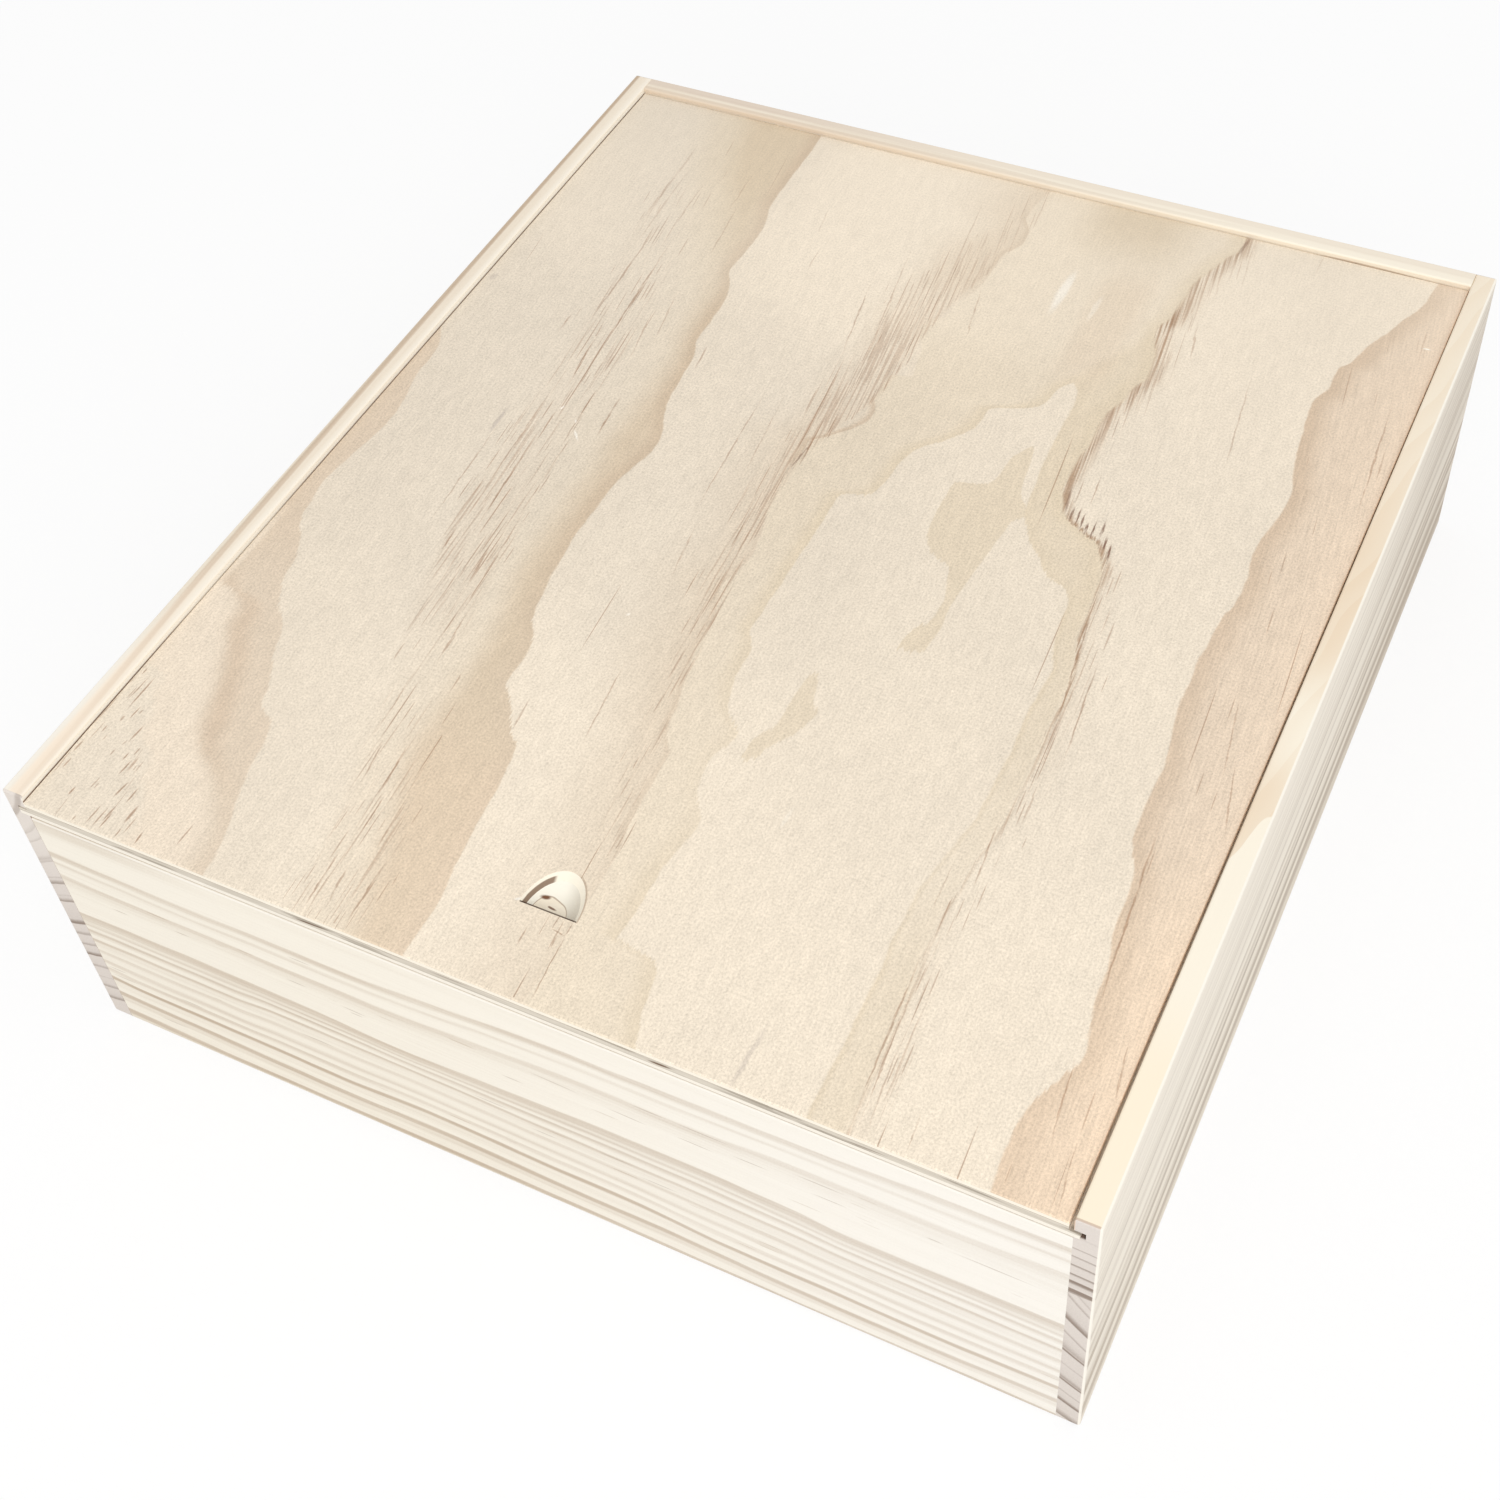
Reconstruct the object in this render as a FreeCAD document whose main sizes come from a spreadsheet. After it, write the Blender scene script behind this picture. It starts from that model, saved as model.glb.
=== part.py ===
import FreeCAD, Part
import math
import os
import re

import Sketcher

# Keepsake box of solid pine boards with a plywood lid that slides out to the front.
#
# Four boards are butted and glued: the two side boards run the full length, and the front and
# back boards stand between them. The lid is three-ply wood. Its side and back edges are rebated
# to a tongue, which lies in a groove ploughed in the side boards and in the back board. The front
# board stops just under that groove, so the lid passes over it. A thin plywood base lies in a
# rebate routed round the finished frame from below, and brads hold it.
#
# Millimetres. X runs across the box, +Y towards the back, +Z up. The origin is the middle of the
# underside. Every alias has an underscore in it, which is how formula() knows it for one.

DIMENSIONS = (
    ("box_width", 330.0, "outside, from side board to side board"),
    ("box_length", 380.0, "outside, front to back, the way the lid slides"),
    ("box_height", 115.0, "outside, underside to rim"),
    ("board_thickness", 7.0, "all four boards"),
    ("arris_radius", 0.7, "eased edges of the boards"),
    ("groove_depth", 3.1, "lid groove, into the board"),
    ("lip_height", 5.2, "rim left standing above the groove"),
    ("front_board_drop", 1.5, "front board's top edge below the groove floor"),
    ("running_gap", 0.3, "groove roof above the tongue"),
    ("tongue_end_gap", 0.2, "tongue shorter than the groove is deep"),
    ("tongue_thickness", 2.5, "left standing at the lid's rebated edges"),
    ("left_gap", 0.35, "lid shoulder to the left side board"),
    ("right_gap", 1.2, "lid shoulder to the right side board at the front, the lid's side play"),
    ("right_gap_back", 0.35, "the same at the back, as the lid is sawn a little out of square"),
    ("back_gap", 0.35, "lid shoulder to the back board"),
    ("lid_overhang", 0.35, "front edge of the lid past the front board's face"),
    ("face_ply", 1.9, "top veneer of the lid, grain front to back"),
    ("core_ply", 2.65, "core veneer of the lid, grain across"),
    ("back_ply", 1.5, "bottom veneer of the lid, grain front to back"),
    ("lid_arris_radius", 0.35, "eased top edges of the lid"),
    ("notch_width", 17.8, "thumb notch, along its straight front wall"),
    ("notch_length", 14.2, "thumb notch, from the wall to the far end of the scoop"),
    ("notch_floor", 0.7, "wood left under the deepest point of the notch"),
    ("notch_rise", 6.6, "height of the scoop's centre over the lid, which flattens its sides"),
    ("notch_setback", 27.5, "front edge of the lid to the notch wall"),
    ("notch_offset", 1.9, "notch left of the middle of the box"),
    ("base_thickness", 3.0, "plywood base and the depth of its rebate"),
    ("rebate_width", 3.5, "rebate into each board"),
    ("rebate_corner", 6.0, "radius the router cutter leaves in the rebate's corners"),
    ("base_gap", 0.2, "base panel to the rebate's walls"),
    ("brad_radius", 0.5, "the same all along, as a brad has hardly any head"),
    ("brad_length", 12.0, "overall, driven flush"),
    ("brad_fit", 0.05, "hole radius over brad radius"),
    ("brad_margin", 32.0, "end of the box to the first brad of a row"),
)
SIDE_ROW_BRADS = 5
END_ROW_BRADS = 4

GROOVE_HEIGHT = "(tongue_thickness + running_gap)"
GROOVE_FLOOR = f"(box_height - lip_height - {GROOVE_HEIGHT})"
END_BOARD_LENGTH = "(box_width - 2 * board_thickness)"
LID_THICKNESS = "(face_ply + core_ply + back_ply)"
TONGUE_LENGTH = "(groove_depth - tongue_end_gap)"
SHOULDER_WIDTH = f"({END_BOARD_LENGTH} - left_gap - right_gap)"
BACK_FLARE = "(right_gap - right_gap_back)"
SHOULDER_LENGTH = "(box_length - board_thickness - back_gap + lid_overhang)"
NOTCH_DEPTH = f"({LID_THICKNESS} - notch_floor)"
NOTCH_SHRINK = f"sqrt(1 - pow(notch_rise / (notch_rise + {NOTCH_DEPTH}); 2))"
REBATE_SETBACK = "(board_thickness - rebate_width)"
BRAD_LINE = "(board_thickness - rebate_width / 2)"

OVERCUT = 5.0
SAME_PLACE = 1e-4


def formula(text):
    """Turn a formula of dimension names into an expression on the sheet's cells."""
    return re.sub(r"\b[a-z]+(?:_[a-z]+)+\b", lambda word: "Dimensions." + word.group(), text)


def bind(feature, **formulas):
    """Bind properties of a feature to formulas of the sheet's dimensions."""
    for name, text in formulas.items():
        feature.setExpression(name, formula(text))


def bind_place(feature, x, y, z):
    for axis, text in zip("xyz", (x, y, z)):
        feature.setExpression(f"Placement.Base.{axis}", formula(text))


def fill_sheet(doc):
    """Write the driving dimensions, one row each: what it is, its size and its alias."""
    sheet = doc.addObject("Spreadsheet::Sheet", "Dimensions")
    for row, (alias, size, meaning) in enumerate(DIMENSIONS, start=1):
        sheet.set(f"A{row}", meaning)
        sheet.set(f"B{row}", str(size))
        sheet.setAlias(f"B{row}", alias)
    doc.recompute()


def new_body(doc, name, x="0", y="0", z="0", turned=0):
    """Start a sub-part at a place given by formulas, turned about the vertical."""
    body = doc.addObject("PartDesign::Body", name)
    body.Label = name
    body.Placement.Rotation = FreeCAD.Rotation(FreeCAD.Vector(0, 0, 1), turned)
    bind_place(body, x, y, z)
    return body


def origin_feature(body, role):
    """Find one of the body's own origin planes or axes."""
    return next(feature for feature in body.Origin.OriginFeatures if feature.Role == role)


def new_sketch(body, plane, name):
    """Start a sketch on one of the body's own origin planes."""
    sketch = body.newObject("Sketcher::SketchObject", name)
    sketch.AttachmentSupport = [(origin_feature(body, plane), "")]
    sketch.MapMode = "FlatFace"
    return sketch


def hold(sketch, kind, *where, text=None):
    """Add a constraint, and bind its value to a formula if it has one."""
    if text is None:
        sketch.addConstraint(Sketcher.Constraint(kind, *where))
        return
    index = sketch.addConstraint(Sketcher.Constraint(kind, *where, 1.0))
    sketch.setExpression(f"Constraints[{index}]", formula(text))


def hold_point(sketch, line, end, x=None, y=None):
    """Set a point of a line or circle by its distances from the sketch's origin."""
    for kind, axis, text in (("DistanceX", -2, x), ("DistanceY", -1, y)):
        if text == "0":
            hold(sketch, "PointOnObject", line, end, axis)
        elif text is not None:
            hold(sketch, kind, -1, 1, line, end, text=text)


def draw_rectangle(sketch, left, low, right, high, flare=None):
    """Draw a rectangle between two corners given by formulas, or wider at the high side by a flare."""
    corners = [FreeCAD.Vector(*place, 0) for place in ((1, 1), (9, 1), (9, 9), (1, 9))]
    for start, end in zip(corners, corners[1:] + corners[:1]):
        sketch.addGeometry(Part.LineSegment(start, end))
    for line in range(4):
        hold(sketch, "Coincident", line, 2, (line + 1) % 4, 1)
        if flare is None or line != 1:
            hold(sketch, "Vertical" if line % 2 else "Horizontal", line)
    hold_point(sketch, 0, 1, left, low)
    if flare is None:
        hold_point(sketch, 2, 1, right, high)
    else:
        hold_point(sketch, 1, 1, x=right)
        hold_point(sketch, 2, 1, f"{right} + {flare}", high)


def draw_rounded_rectangle(sketch, left, low, right, high, radius):
    """Draw a rectangle with four equal round corners, each side followed by its corner."""
    reach, bend = 9.0, 2.0
    flat = reach - bend
    upright = FreeCAD.Vector(0, 0, 1)
    for quarter in range(4):
        turn = FreeCAD.Rotation(upright, 90 * quarter)
        start, end, middle = (
            turn.multVec(FreeCAD.Vector(*place, 0))
            for place in ((-flat, -reach), (flat, -reach), (flat, -flat))
        )
        sketch.addGeometry(Part.LineSegment(start, end))
        first, last = (math.radians(90 * (quarter + step)) for step in (-1, 0))
        sketch.addGeometry(Part.ArcOfCircle(Part.Circle(middle, upright, bend), first, last))
    for quarter in range(4):
        side, corner = 2 * quarter, 2 * quarter + 1
        hold(sketch, "Tangent", side, 2, corner, 1)
        hold(sketch, "Tangent", corner, 2, (side + 2) % 8, 1)
        hold(sketch, "Vertical" if quarter % 2 else "Horizontal", side)
        if quarter:
            hold(sketch, "Equal", 1, corner)
    hold(sketch, "Radius", 1, text=radius)
    hold_point(sketch, 0, 1, y=low)
    hold_point(sketch, 2, 1, x=right)
    hold_point(sketch, 4, 1, y=high)
    hold_point(sketch, 6, 1, x=left)


def draw_circle(sketch, x, y, radius):
    sketch.addGeometry(Part.Circle(FreeCAD.Vector(1, 1, 0), FreeCAD.Vector(0, 0, 1), 1.0))
    hold_point(sketch, 0, 3, x, y)
    hold(sketch, "Radius", 0, text=radius)


def pad(body, sketch, height):
    feature = body.newObject("PartDesign::Pad", sketch.Name + "Pad")
    feature.Profile = sketch
    bind(feature, Length=height)
    return feature


def pocket(body, sketch, depth=None, reverse=False):
    """Cut a sketch's outline out of the body, to a depth or right through."""
    feature = body.newObject("PartDesign::Pocket", sketch.Name + "Pocket")
    feature.Profile = sketch
    feature.Reversed = reverse
    if depth is None:
        feature.Type = "ThroughAll"
    else:
        bind(feature, Length=depth)
    return feature


def repeat(body, feature, axis, length, count):
    """Repeat a feature in a straight row and make the row the body's result."""
    row = body.newObject("PartDesign::LinearPattern", feature.Name + "Row")
    row.Originals = [feature]
    row.Direction = (origin_feature(body, axis), [""])
    row.Occurrences = count
    bind(row, Length=length)
    body.Tip = row


def lies_in(edge, box, side):
    """Tell whether both ends of an edge lie in one side of a box, such as XMin."""
    axis, place = side[0].lower(), getattr(box, side)
    return all(abs(getattr(end.Point, axis) - place) < SAME_PLACE for end in edge.Vertexes)


def ease_edges(body, radius, arrises):
    """Round the edges that lie in one side of the body's box, or where two of its sides meet."""
    body.Document.recompute()
    worked = body.Tip
    box = worked.Shape.BoundBox
    names = [
        f"Edge{number}"
        for number, edge in enumerate(worked.Shape.Edges, start=1)
        if any(all(lies_in(edge, box, side) for side in sides) for sides in arrises)
    ]
    rounding = body.newObject("PartDesign::Fillet", body.Name + "Arris")
    rounding.Base = (worked, names)
    bind(rounding, Radius=radius)


def plough_groove(body, plane, reverse):
    """Cut the lid's groove into a board's inner face, from end to end."""
    groove = new_sketch(body, plane, body.Name + "Groove")
    draw_rectangle(
        groove, "board_thickness - groove_depth", GROOVE_FLOOR,
        f"board_thickness + {OVERCUT}", f"{GROOVE_FLOOR} + {GROOVE_HEIGHT}")
    pocket(body, groove, reverse=reverse)


def rout_base_rebate(body, left):
    """Rout the base's rebate: one outline for all four boards, seen from each board's frame."""
    outline = new_sketch(body, "XY_Plane", body.Name + "Rebate")
    draw_rounded_rectangle(
        outline, left, REBATE_SETBACK,
        f"{left} + {END_BOARD_LENGTH} + 2 * rebate_width",
        f"box_length - {REBATE_SETBACK}", "rebate_corner")
    pocket(body, outline, "base_thickness", reverse=True)


def drill_row(body, x, y, axis, length, count, depth):
    """Drill a row of brad holes up from the underside."""
    hole = new_sketch(body, "XY_Plane", f"{body.Name}Hole{len(body.Group)}")
    draw_circle(hole, x, y, "brad_radius + brad_fit")
    repeat(body, pocket(body, hole, depth, reverse=True), axis, length, count)


def side_board(doc, name, x, y, turned):
    """A full-length board, its outer face at local x = 0 and its groove on the inner face."""
    body = new_body(doc, name, x, y, turned=turned)
    blank = new_sketch(body, "XY_Plane", name + "Blank")
    draw_rectangle(blank, "0", "0", "board_thickness", "box_length")
    pad(body, blank, "box_height")
    plough_groove(body, "XZ_Plane", reverse=False)
    rout_base_rebate(body, REBATE_SETBACK)
    drill_row(
        body, BRAD_LINE, "brad_margin", "Y_Axis", "box_length - 2 * brad_margin",
        SIDE_ROW_BRADS, "brad_length + brad_fit")
    outer_edges = [("XMin", side) for side in ("YMin", "YMax", "ZMin", "ZMax")]
    foot_ends = [("ZMin", side) for side in ("YMin", "YMax")]
    rim = [("ZMax", side) for side in ("XMax", "YMin", "YMax")]
    ease_edges(body, "arris_radius", outer_edges + foot_ends + rim)


def end_board(doc, name, y, turned, height, grooved):
    """A board between the side boards, its outer face at local y = 0."""
    side = 1 if turned else -1
    body = new_body(doc, name, f"{side} * {END_BOARD_LENGTH} / 2", y, turned=turned)
    blank = new_sketch(body, "XY_Plane", name + "Blank")
    draw_rectangle(blank, "0", "0", END_BOARD_LENGTH, "board_thickness")
    pad(body, blank, height)
    if grooved:
        plough_groove(body, "YZ_Plane", reverse=True)
    rout_base_rebate(body, "-1 * rebate_width")
    drill_row(
        body, "brad_margin - board_thickness", BRAD_LINE, "X_Axis",
        "box_width - 2 * brad_margin", END_ROW_BRADS, "brad_length + brad_fit")
    ease_edges(body, "arris_radius", [("YMin", "ZMin"), ("YMin", "ZMax"), ("YMax", "ZMax")])


def brad_rows():
    """The four rows of brads: the first brad's x and y, the row's axis, length and count."""
    first_x = "-1 * (box_width / 2 - brad_margin)"
    first_y = "-1 * (box_length / 2 - brad_margin)"
    for side in (-1, 1):
        yield (f"{side} * (box_width / 2 - {BRAD_LINE})", first_y, "Y_Axis",
               "box_length - 2 * brad_margin", SIDE_ROW_BRADS)
        yield (first_x, f"{side} * (box_length / 2 - {BRAD_LINE})", "X_Axis",
               "box_width - 2 * brad_margin", END_ROW_BRADS)


def base_panel(doc):
    """The plywood base, with its brad holes."""
    body = new_body(doc, "base_panel")
    outline = new_sketch(body, "XY_Plane", "BaseOutline")
    reach_x = f"(box_width / 2 - {REBATE_SETBACK} - base_gap)"
    reach_y = f"(box_length / 2 - {REBATE_SETBACK} - base_gap)"
    draw_rounded_rectangle(
        outline, f"-1 * {reach_x}", f"-1 * {reach_y}", reach_x, reach_y,
        "rebate_corner - base_gap")
    pad(body, outline, "base_thickness")
    for row in brad_rows():
        drill_row(body, *row, "base_thickness")


def base_brads(doc):
    """Steel brads, driven up through the base into the boards."""
    body = new_body(doc, "base_brads")
    for number, (x, y, axis, length, count) in enumerate(brad_rows()):
        outline = new_sketch(body, "XY_Plane", f"Brad{number}")
        draw_circle(outline, x, y, "brad_radius")
        repeat(body, pad(body, outline, "brad_length"), axis, length, count)


def lid_veneer(doc, name, height):
    """Start a veneer of the lid, its frame at the lid's left front shoulder."""
    return new_body(
        doc, name, "left_gap - box_width / 2 + board_thickness",
        "-1 * (box_length / 2 + lid_overhang)", height)


def lay_to_shoulder(body, thickness):
    """Lay a thickness of veneer as far as the lid's shoulders."""
    outline = new_sketch(body, "XY_Plane", body.Name + "Shoulder")
    draw_rectangle(outline, "0", "0", SHOULDER_WIDTH, SHOULDER_LENGTH, BACK_FLARE)
    pad(body, outline, thickness)


def lay_with_tongue(body, thickness):
    """Lay a thickness of veneer that stands out past the shoulders, as the tongue."""
    outline = new_sketch(body, "XY_Plane", body.Name + "Tongue")
    draw_rectangle(
        outline, f"-1 * {TONGUE_LENGTH}", "0",
        f"{SHOULDER_WIDTH} + {TONGUE_LENGTH}", f"{SHOULDER_LENGTH} + {TONGUE_LENGTH}",
        BACK_FLARE)
    pad(body, outline, thickness)


def scoop_notch(body, lid_top):
    """Carve the thumb notch: a cut square down across the grain, and a scoop down to it.

    The scoop is half an ellipsoid whose centre lies over the lid, lid_top being the lid's face in
    the veneer's own frame, so one scoop runs through all three veneers.
    """
    scoop = body.newObject("PartDesign::SubtractiveEllipsoid", body.Name + "Notch")
    scoop.Angle3 = 180
    bind(scoop, Radius1=f"notch_rise + {NOTCH_DEPTH}",
         Radius2=f"notch_width / 2 / {NOTCH_SHRINK}",
         Radius3=f"notch_length / {NOTCH_SHRINK}")
    bind_place(
        scoop, "box_width / 2 - board_thickness - left_gap - notch_offset",
        "notch_setback", f"{lid_top} + notch_rise")


def lid_back_veneer(doc):
    """The bottom veneer, which lies on the groove floor and is all tongue at its edges."""
    body = lid_veneer(doc, "lid_back_veneer", GROOVE_FLOOR)
    lay_with_tongue(body, "back_ply")
    scoop_notch(body, LID_THICKNESS)


def lid_core_veneer(doc):
    """The core veneer: the rebate goes partway down it, so its lower part is tongue too."""
    body = lid_veneer(doc, "lid_core_veneer", f"{GROOVE_FLOOR} + back_ply")
    lay_with_tongue(body, "tongue_thickness - back_ply")
    lay_to_shoulder(body, "core_ply")
    scoop_notch(body, "(core_ply + face_ply)")


def lid_face_veneer(doc):
    """The top veneer, which ends at the shoulders and is eased along its top edges."""
    body = lid_veneer(doc, "lid_face_veneer", f"{GROOVE_FLOOR} + back_ply + core_ply")
    lay_to_shoulder(body, "face_ply")
    ease_edges(body, "lid_arris_radius", [("ZMax",)])
    scoop_notch(body, "face_ply")


def sub_parts(doc):
    return [item for item in doc.Objects if item.TypeId == "PartDesign::Body"]


def check_model(doc):
    """Stop if any object failed or any sub-part isn't a sound solid."""
    for item in doc.Objects:
        if {"Invalid", "Error"} & set(item.State):
            raise RuntimeError(f"{item.Name} is {item.State}")
    for body in sub_parts(doc):
        if body.Shape.isNull() or not body.Shape.isValid() or not body.Shape.Solids:
            raise RuntimeError(f"{body.Label} has no valid solid")


def build():
    """Build every sub-part, check them all and write one STEP file for each."""
    doc = FreeCAD.newDocument("SlidingLidBox")
    fill_sheet(doc)
    side_board(doc, "left_side_board", "-1 * box_width / 2", "-1 * box_length / 2", turned=0)
    side_board(doc, "right_side_board", "box_width / 2", "box_length / 2", turned=180)
    end_board(doc, "front_board", "-1 * box_length / 2", 0,
              height=f"{GROOVE_FLOOR} - front_board_drop", grooved=False)
    end_board(doc, "back_board", "box_length / 2", 180, height="box_height", grooved=True)
    base_panel(doc)
    base_brads(doc)
    lid_back_veneer(doc)
    lid_core_veneer(doc)
    lid_face_veneer(doc)
    doc.recompute()
    check_model(doc)
    os.makedirs("parts", exist_ok=True)
    for body in sub_parts(doc):
        body.Shape.exportStep(f"parts/{body.Label}.step")
        print(f"{body.Label}: {len(body.Shape.Solids)} solid(s), {body.Shape.Volume:.1f} mm3")


build()
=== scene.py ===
import math

import bmesh
import bpy
from mathutils import Matrix, Vector

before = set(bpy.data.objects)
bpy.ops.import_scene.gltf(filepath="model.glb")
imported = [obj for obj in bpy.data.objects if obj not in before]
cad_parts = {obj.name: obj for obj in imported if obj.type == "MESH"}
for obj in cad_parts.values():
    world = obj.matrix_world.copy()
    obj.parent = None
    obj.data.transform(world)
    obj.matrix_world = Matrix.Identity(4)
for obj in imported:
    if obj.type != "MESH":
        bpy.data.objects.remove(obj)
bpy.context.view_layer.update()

# ---- Side boards -------------------------------------------------------------
# Two lengths of planed, unfinished pine that run from front to back, so their end grain shows at the
# front and back. The left board is one piece. The right one is two strips glued edge to edge, 77 mm up.

BOX_LENGTH = 380.0
RIM = 115.0
GROOVE_FLOOR = 107.0
GROOVE_ROOF = 109.8
GLUE_LINE = 77.0
PINE_RELIEF = 0.00006


class Socket:
    """One output of a shader node. Sums on it add Math nodes to the same material."""

    def __init__(self, tree, output):
        self.tree = tree
        self.output = output

    def node(self, kind, settings, inputs, output=0):
        """Add a node, set it up, feed its sockets with numbers or links, and return an output."""
        added = self.tree.nodes.new("ShaderNode" + kind)
        for name, setting in settings.items():
            if name == "points":
                curve = added.mapping.curves[0]
                for place, height in setting[1:-1]:
                    curve.points.new(place, height)
                curve.points[0].location = setting[0]
                curve.points[-1].location = setting[-1]
            elif name == "handles":
                for point in added.mapping.curves[0].points:
                    point.handle_type = setting
                added.mapping.update()
            else:
                setattr(added, name, setting)
        for name, value in inputs.items():
            if isinstance(value, Socket):
                self.tree.links.new(value.output, added.inputs[name])
            else:
                added.inputs[name].default_value = value
        return Socket(self.tree, added.outputs[output])

    def beside(self, name):
        """Another output of the same node."""
        return Socket(self.tree, self.output.node.outputs[name])

    def math(self, operation, *others):
        """Add a Math node that takes this output first."""
        return self.node("Math", {"operation": operation}, dict(enumerate((self, *others))))

    def __add__(self, other):
        return self.math("ADD", other)

    __radd__ = __add__

    def __sub__(self, other):
        return self.math("SUBTRACT", other)

    def __rsub__(self, other):
        return self.node("Math", {"operation": "SUBTRACT"}, {0: other, 1: self})

    def __mul__(self, other):
        return self.math("MULTIPLY", other)

    __rmul__ = __mul__

    def __truediv__(self, other):
        return self.math("DIVIDE", other)

    def __lt__(self, other):
        return self.math("LESS_THAN", other)

    def __gt__(self, other):
        return self.math("GREATER_THAN", other)

    def __abs__(self):
        return self.math("ABSOLUTE")

    def fade(self, start, end, top=1.0):
        """0 up to start and the top value from end, or the other way round if end is the lower one."""
        inputs = {"Value": self, "From Min": start, "From Max": end, "To Max": top}
        return self.node("MapRange", {"interpolation_type": "SMOOTHSTEP"}, inputs)

    def between(self, start, end, edge):
        """1 between start and end, falling to 0 over the width of the edge outside them."""
        return self.fade(start - edge, start) * self.fade(end + edge, end)

    def mix(self, first, second):
        """The first colour where this is 0 and the second where it is 1."""
        return self.node("Mix", {"data_type": "RGBA"}, {0: self, 6: first, 7: second}, 2)

    def blend(self, first, second):
        """The first number where this is 0 and the second where it is 1."""
        return self.node("Mix", {"data_type": "FLOAT"}, {0: self, 2: first, 3: second})


def tint(red, green, blue):
    """A colour given as it looks, 0 to 255, as the linear colour that a shader takes."""
    channels = [channel / 255 for channel in (red, green, blue)]
    return tuple(c / 12.92 if c <= 0.04045 else ((c + 0.055) / 1.055) ** 2.4 for c in channels) + (1.0,)


def start_finish(name):
    """A material, and the place of each point in millimetres from the front left corner of the foot."""
    material = bpy.data.materials.new(name)
    material.use_nodes = True
    tree = material.node_tree
    coordinate = Socket(tree, tree.nodes.new("ShaderNodeTexCoord").outputs["Object"])
    placing = {"Vector": coordinate, "Location": (165.0, 190.0, 0.0), "Scale": (1000.0, 1000.0, 1000.0)}
    place = coordinate.node("Mapping", {"vector_type": "POINT"}, placing)
    return material, place


def axes(place):
    """The three coordinates of a place."""
    split = place.node("SeparateXYZ", {}, {0: place})
    return split, split.beside("Y"), split.beside("Z")


def cloud(place, scale, detail=2.0, roughness=0.5):
    """Noise about 0.5, with its waves per millimetre along x, y and z."""
    inputs = {"Vector": place, "Scale": scale}
    stretched = place.node("Mapping", {"vector_type": "POINT"}, inputs)
    inputs = {"Vector": stretched, "Scale": 1.0, "Detail": detail, "Roughness": roughness}
    return place.node("TexNoise", {"noise_dimensions": "3D"}, inputs)


def graph(value, low, high, points, bottom=0.0, top=1.0, handles="AUTO_CLAMPED"):
    """Read a curve through points. The value runs from low to high, the answer from bottom to top."""
    drawn = [((a - low) / (high - low), (b - bottom) / (top - bottom)) for a, b in points]
    share = (value - low) / (high - low)
    inputs = {"Factor": 1.0, "Value": share}
    curve = value.node("FloatCurve", {"points": drawn, "handles": handles}, inputs)
    return curve if (bottom, top) == (0, 1) else curve * (top - bottom) + bottom


def front_to_back(y, points, bottom=0.0, top=1.0):
    """Read a curve that is drawn from the front of the box to its back."""
    return graph(y, 0, BOX_LENGTH, points, bottom, top)


def finish(name, material, colour, roughness, height, depth):
    """Feed the shader, with the height as a relief of that depth in metres, and dress the piece."""
    shader = material.node_tree.nodes["Principled BSDF"]
    shader.inputs["Specular IOR Level"].default_value = 0.25
    bump = height.node("Bump", {}, {"Strength": 1.0, "Distance": depth, "Height": height})
    links = material.node_tree.links
    links.new(colour.output, shader.inputs["Base Color"])
    links.new(roughness.output, shader.inputs["Roughness"])
    links.new(bump.output, shader.inputs["Normal"])
    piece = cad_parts[name]
    if not piece.material_slots:
        piece.data.materials.append(material)
    for slot in piece.material_slots:
        slot.material = material


def planed_pine(place, face_late, end_late, fibre_scale, end, pale, brown):
    """Colour, roughness and relief of planed pine, from its latewood on the faces and on the ends."""
    fibres = cloud(place, fibre_scale, 3.0, 0.65)
    patches = cloud(place, tuple(scale * 0.15 for scale in fibre_scale))
    grains = cloud(place, (1.7, 1.7, 1.7), 2.0, 0.7)
    shade = face_late + (fibres - 0.5) * 0.5 + (patches - 0.5) * 0.3 + (grains - 0.5) * 0.4
    face = shade.fade(-0.15, 1.15).mix(pale, brown)
    end_shade = (end_late * 1.05 + (grains - 0.5) * 0.4).fade(-0.1, 1.0)
    sawn = end_shade.mix(tint(228, 219, 211), tint(150, 134, 122))
    colour = end.mix(face, sawn)
    roughness = 0.62 - face_late * 0.1 + end * 0.2
    height = fibres * 0.5 + face_late * 0.4 + grains * 0.25
    return colour, roughness, height


def starting_height(along, up, lines):
    """The height at which the grain through a point starts, from a few lines drawn along the board."""
    end = lines[0][1][-1][0]
    drawn = [(graph(along, 0, end, course, 0, 120), start) for start, course in lines]
    total = up * 0.0
    for (lower, low_start), (upper, high_start) in zip(drawn, drawn[1:]):
        rise = float(high_start - low_start)
        inputs = {"Value": up, "From Min": lower, "From Max": upper, "To Max": rise}
        total = total + up.node("MapRange", {"interpolation_type": "LINEAR"}, inputs)
    return total + float(drawn[0][1])


def distance(across, up):
    """Distance from the point where both are 0."""
    return (across * across + up * up).math("SQRT")


def sawn_ends(y):
    """1 on the two ends of a side board."""
    return y.fade(0.75, 0.55) + y.fade(379.25, 379.45)


def top_edge(z):
    """1 on the top edge of a board that reaches the rim."""
    return z.fade(RIM - 0.8, RIM - 0.3)


left_pine, place = start_finish("left_side_pine")
x, y, z = axes(place)
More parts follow.
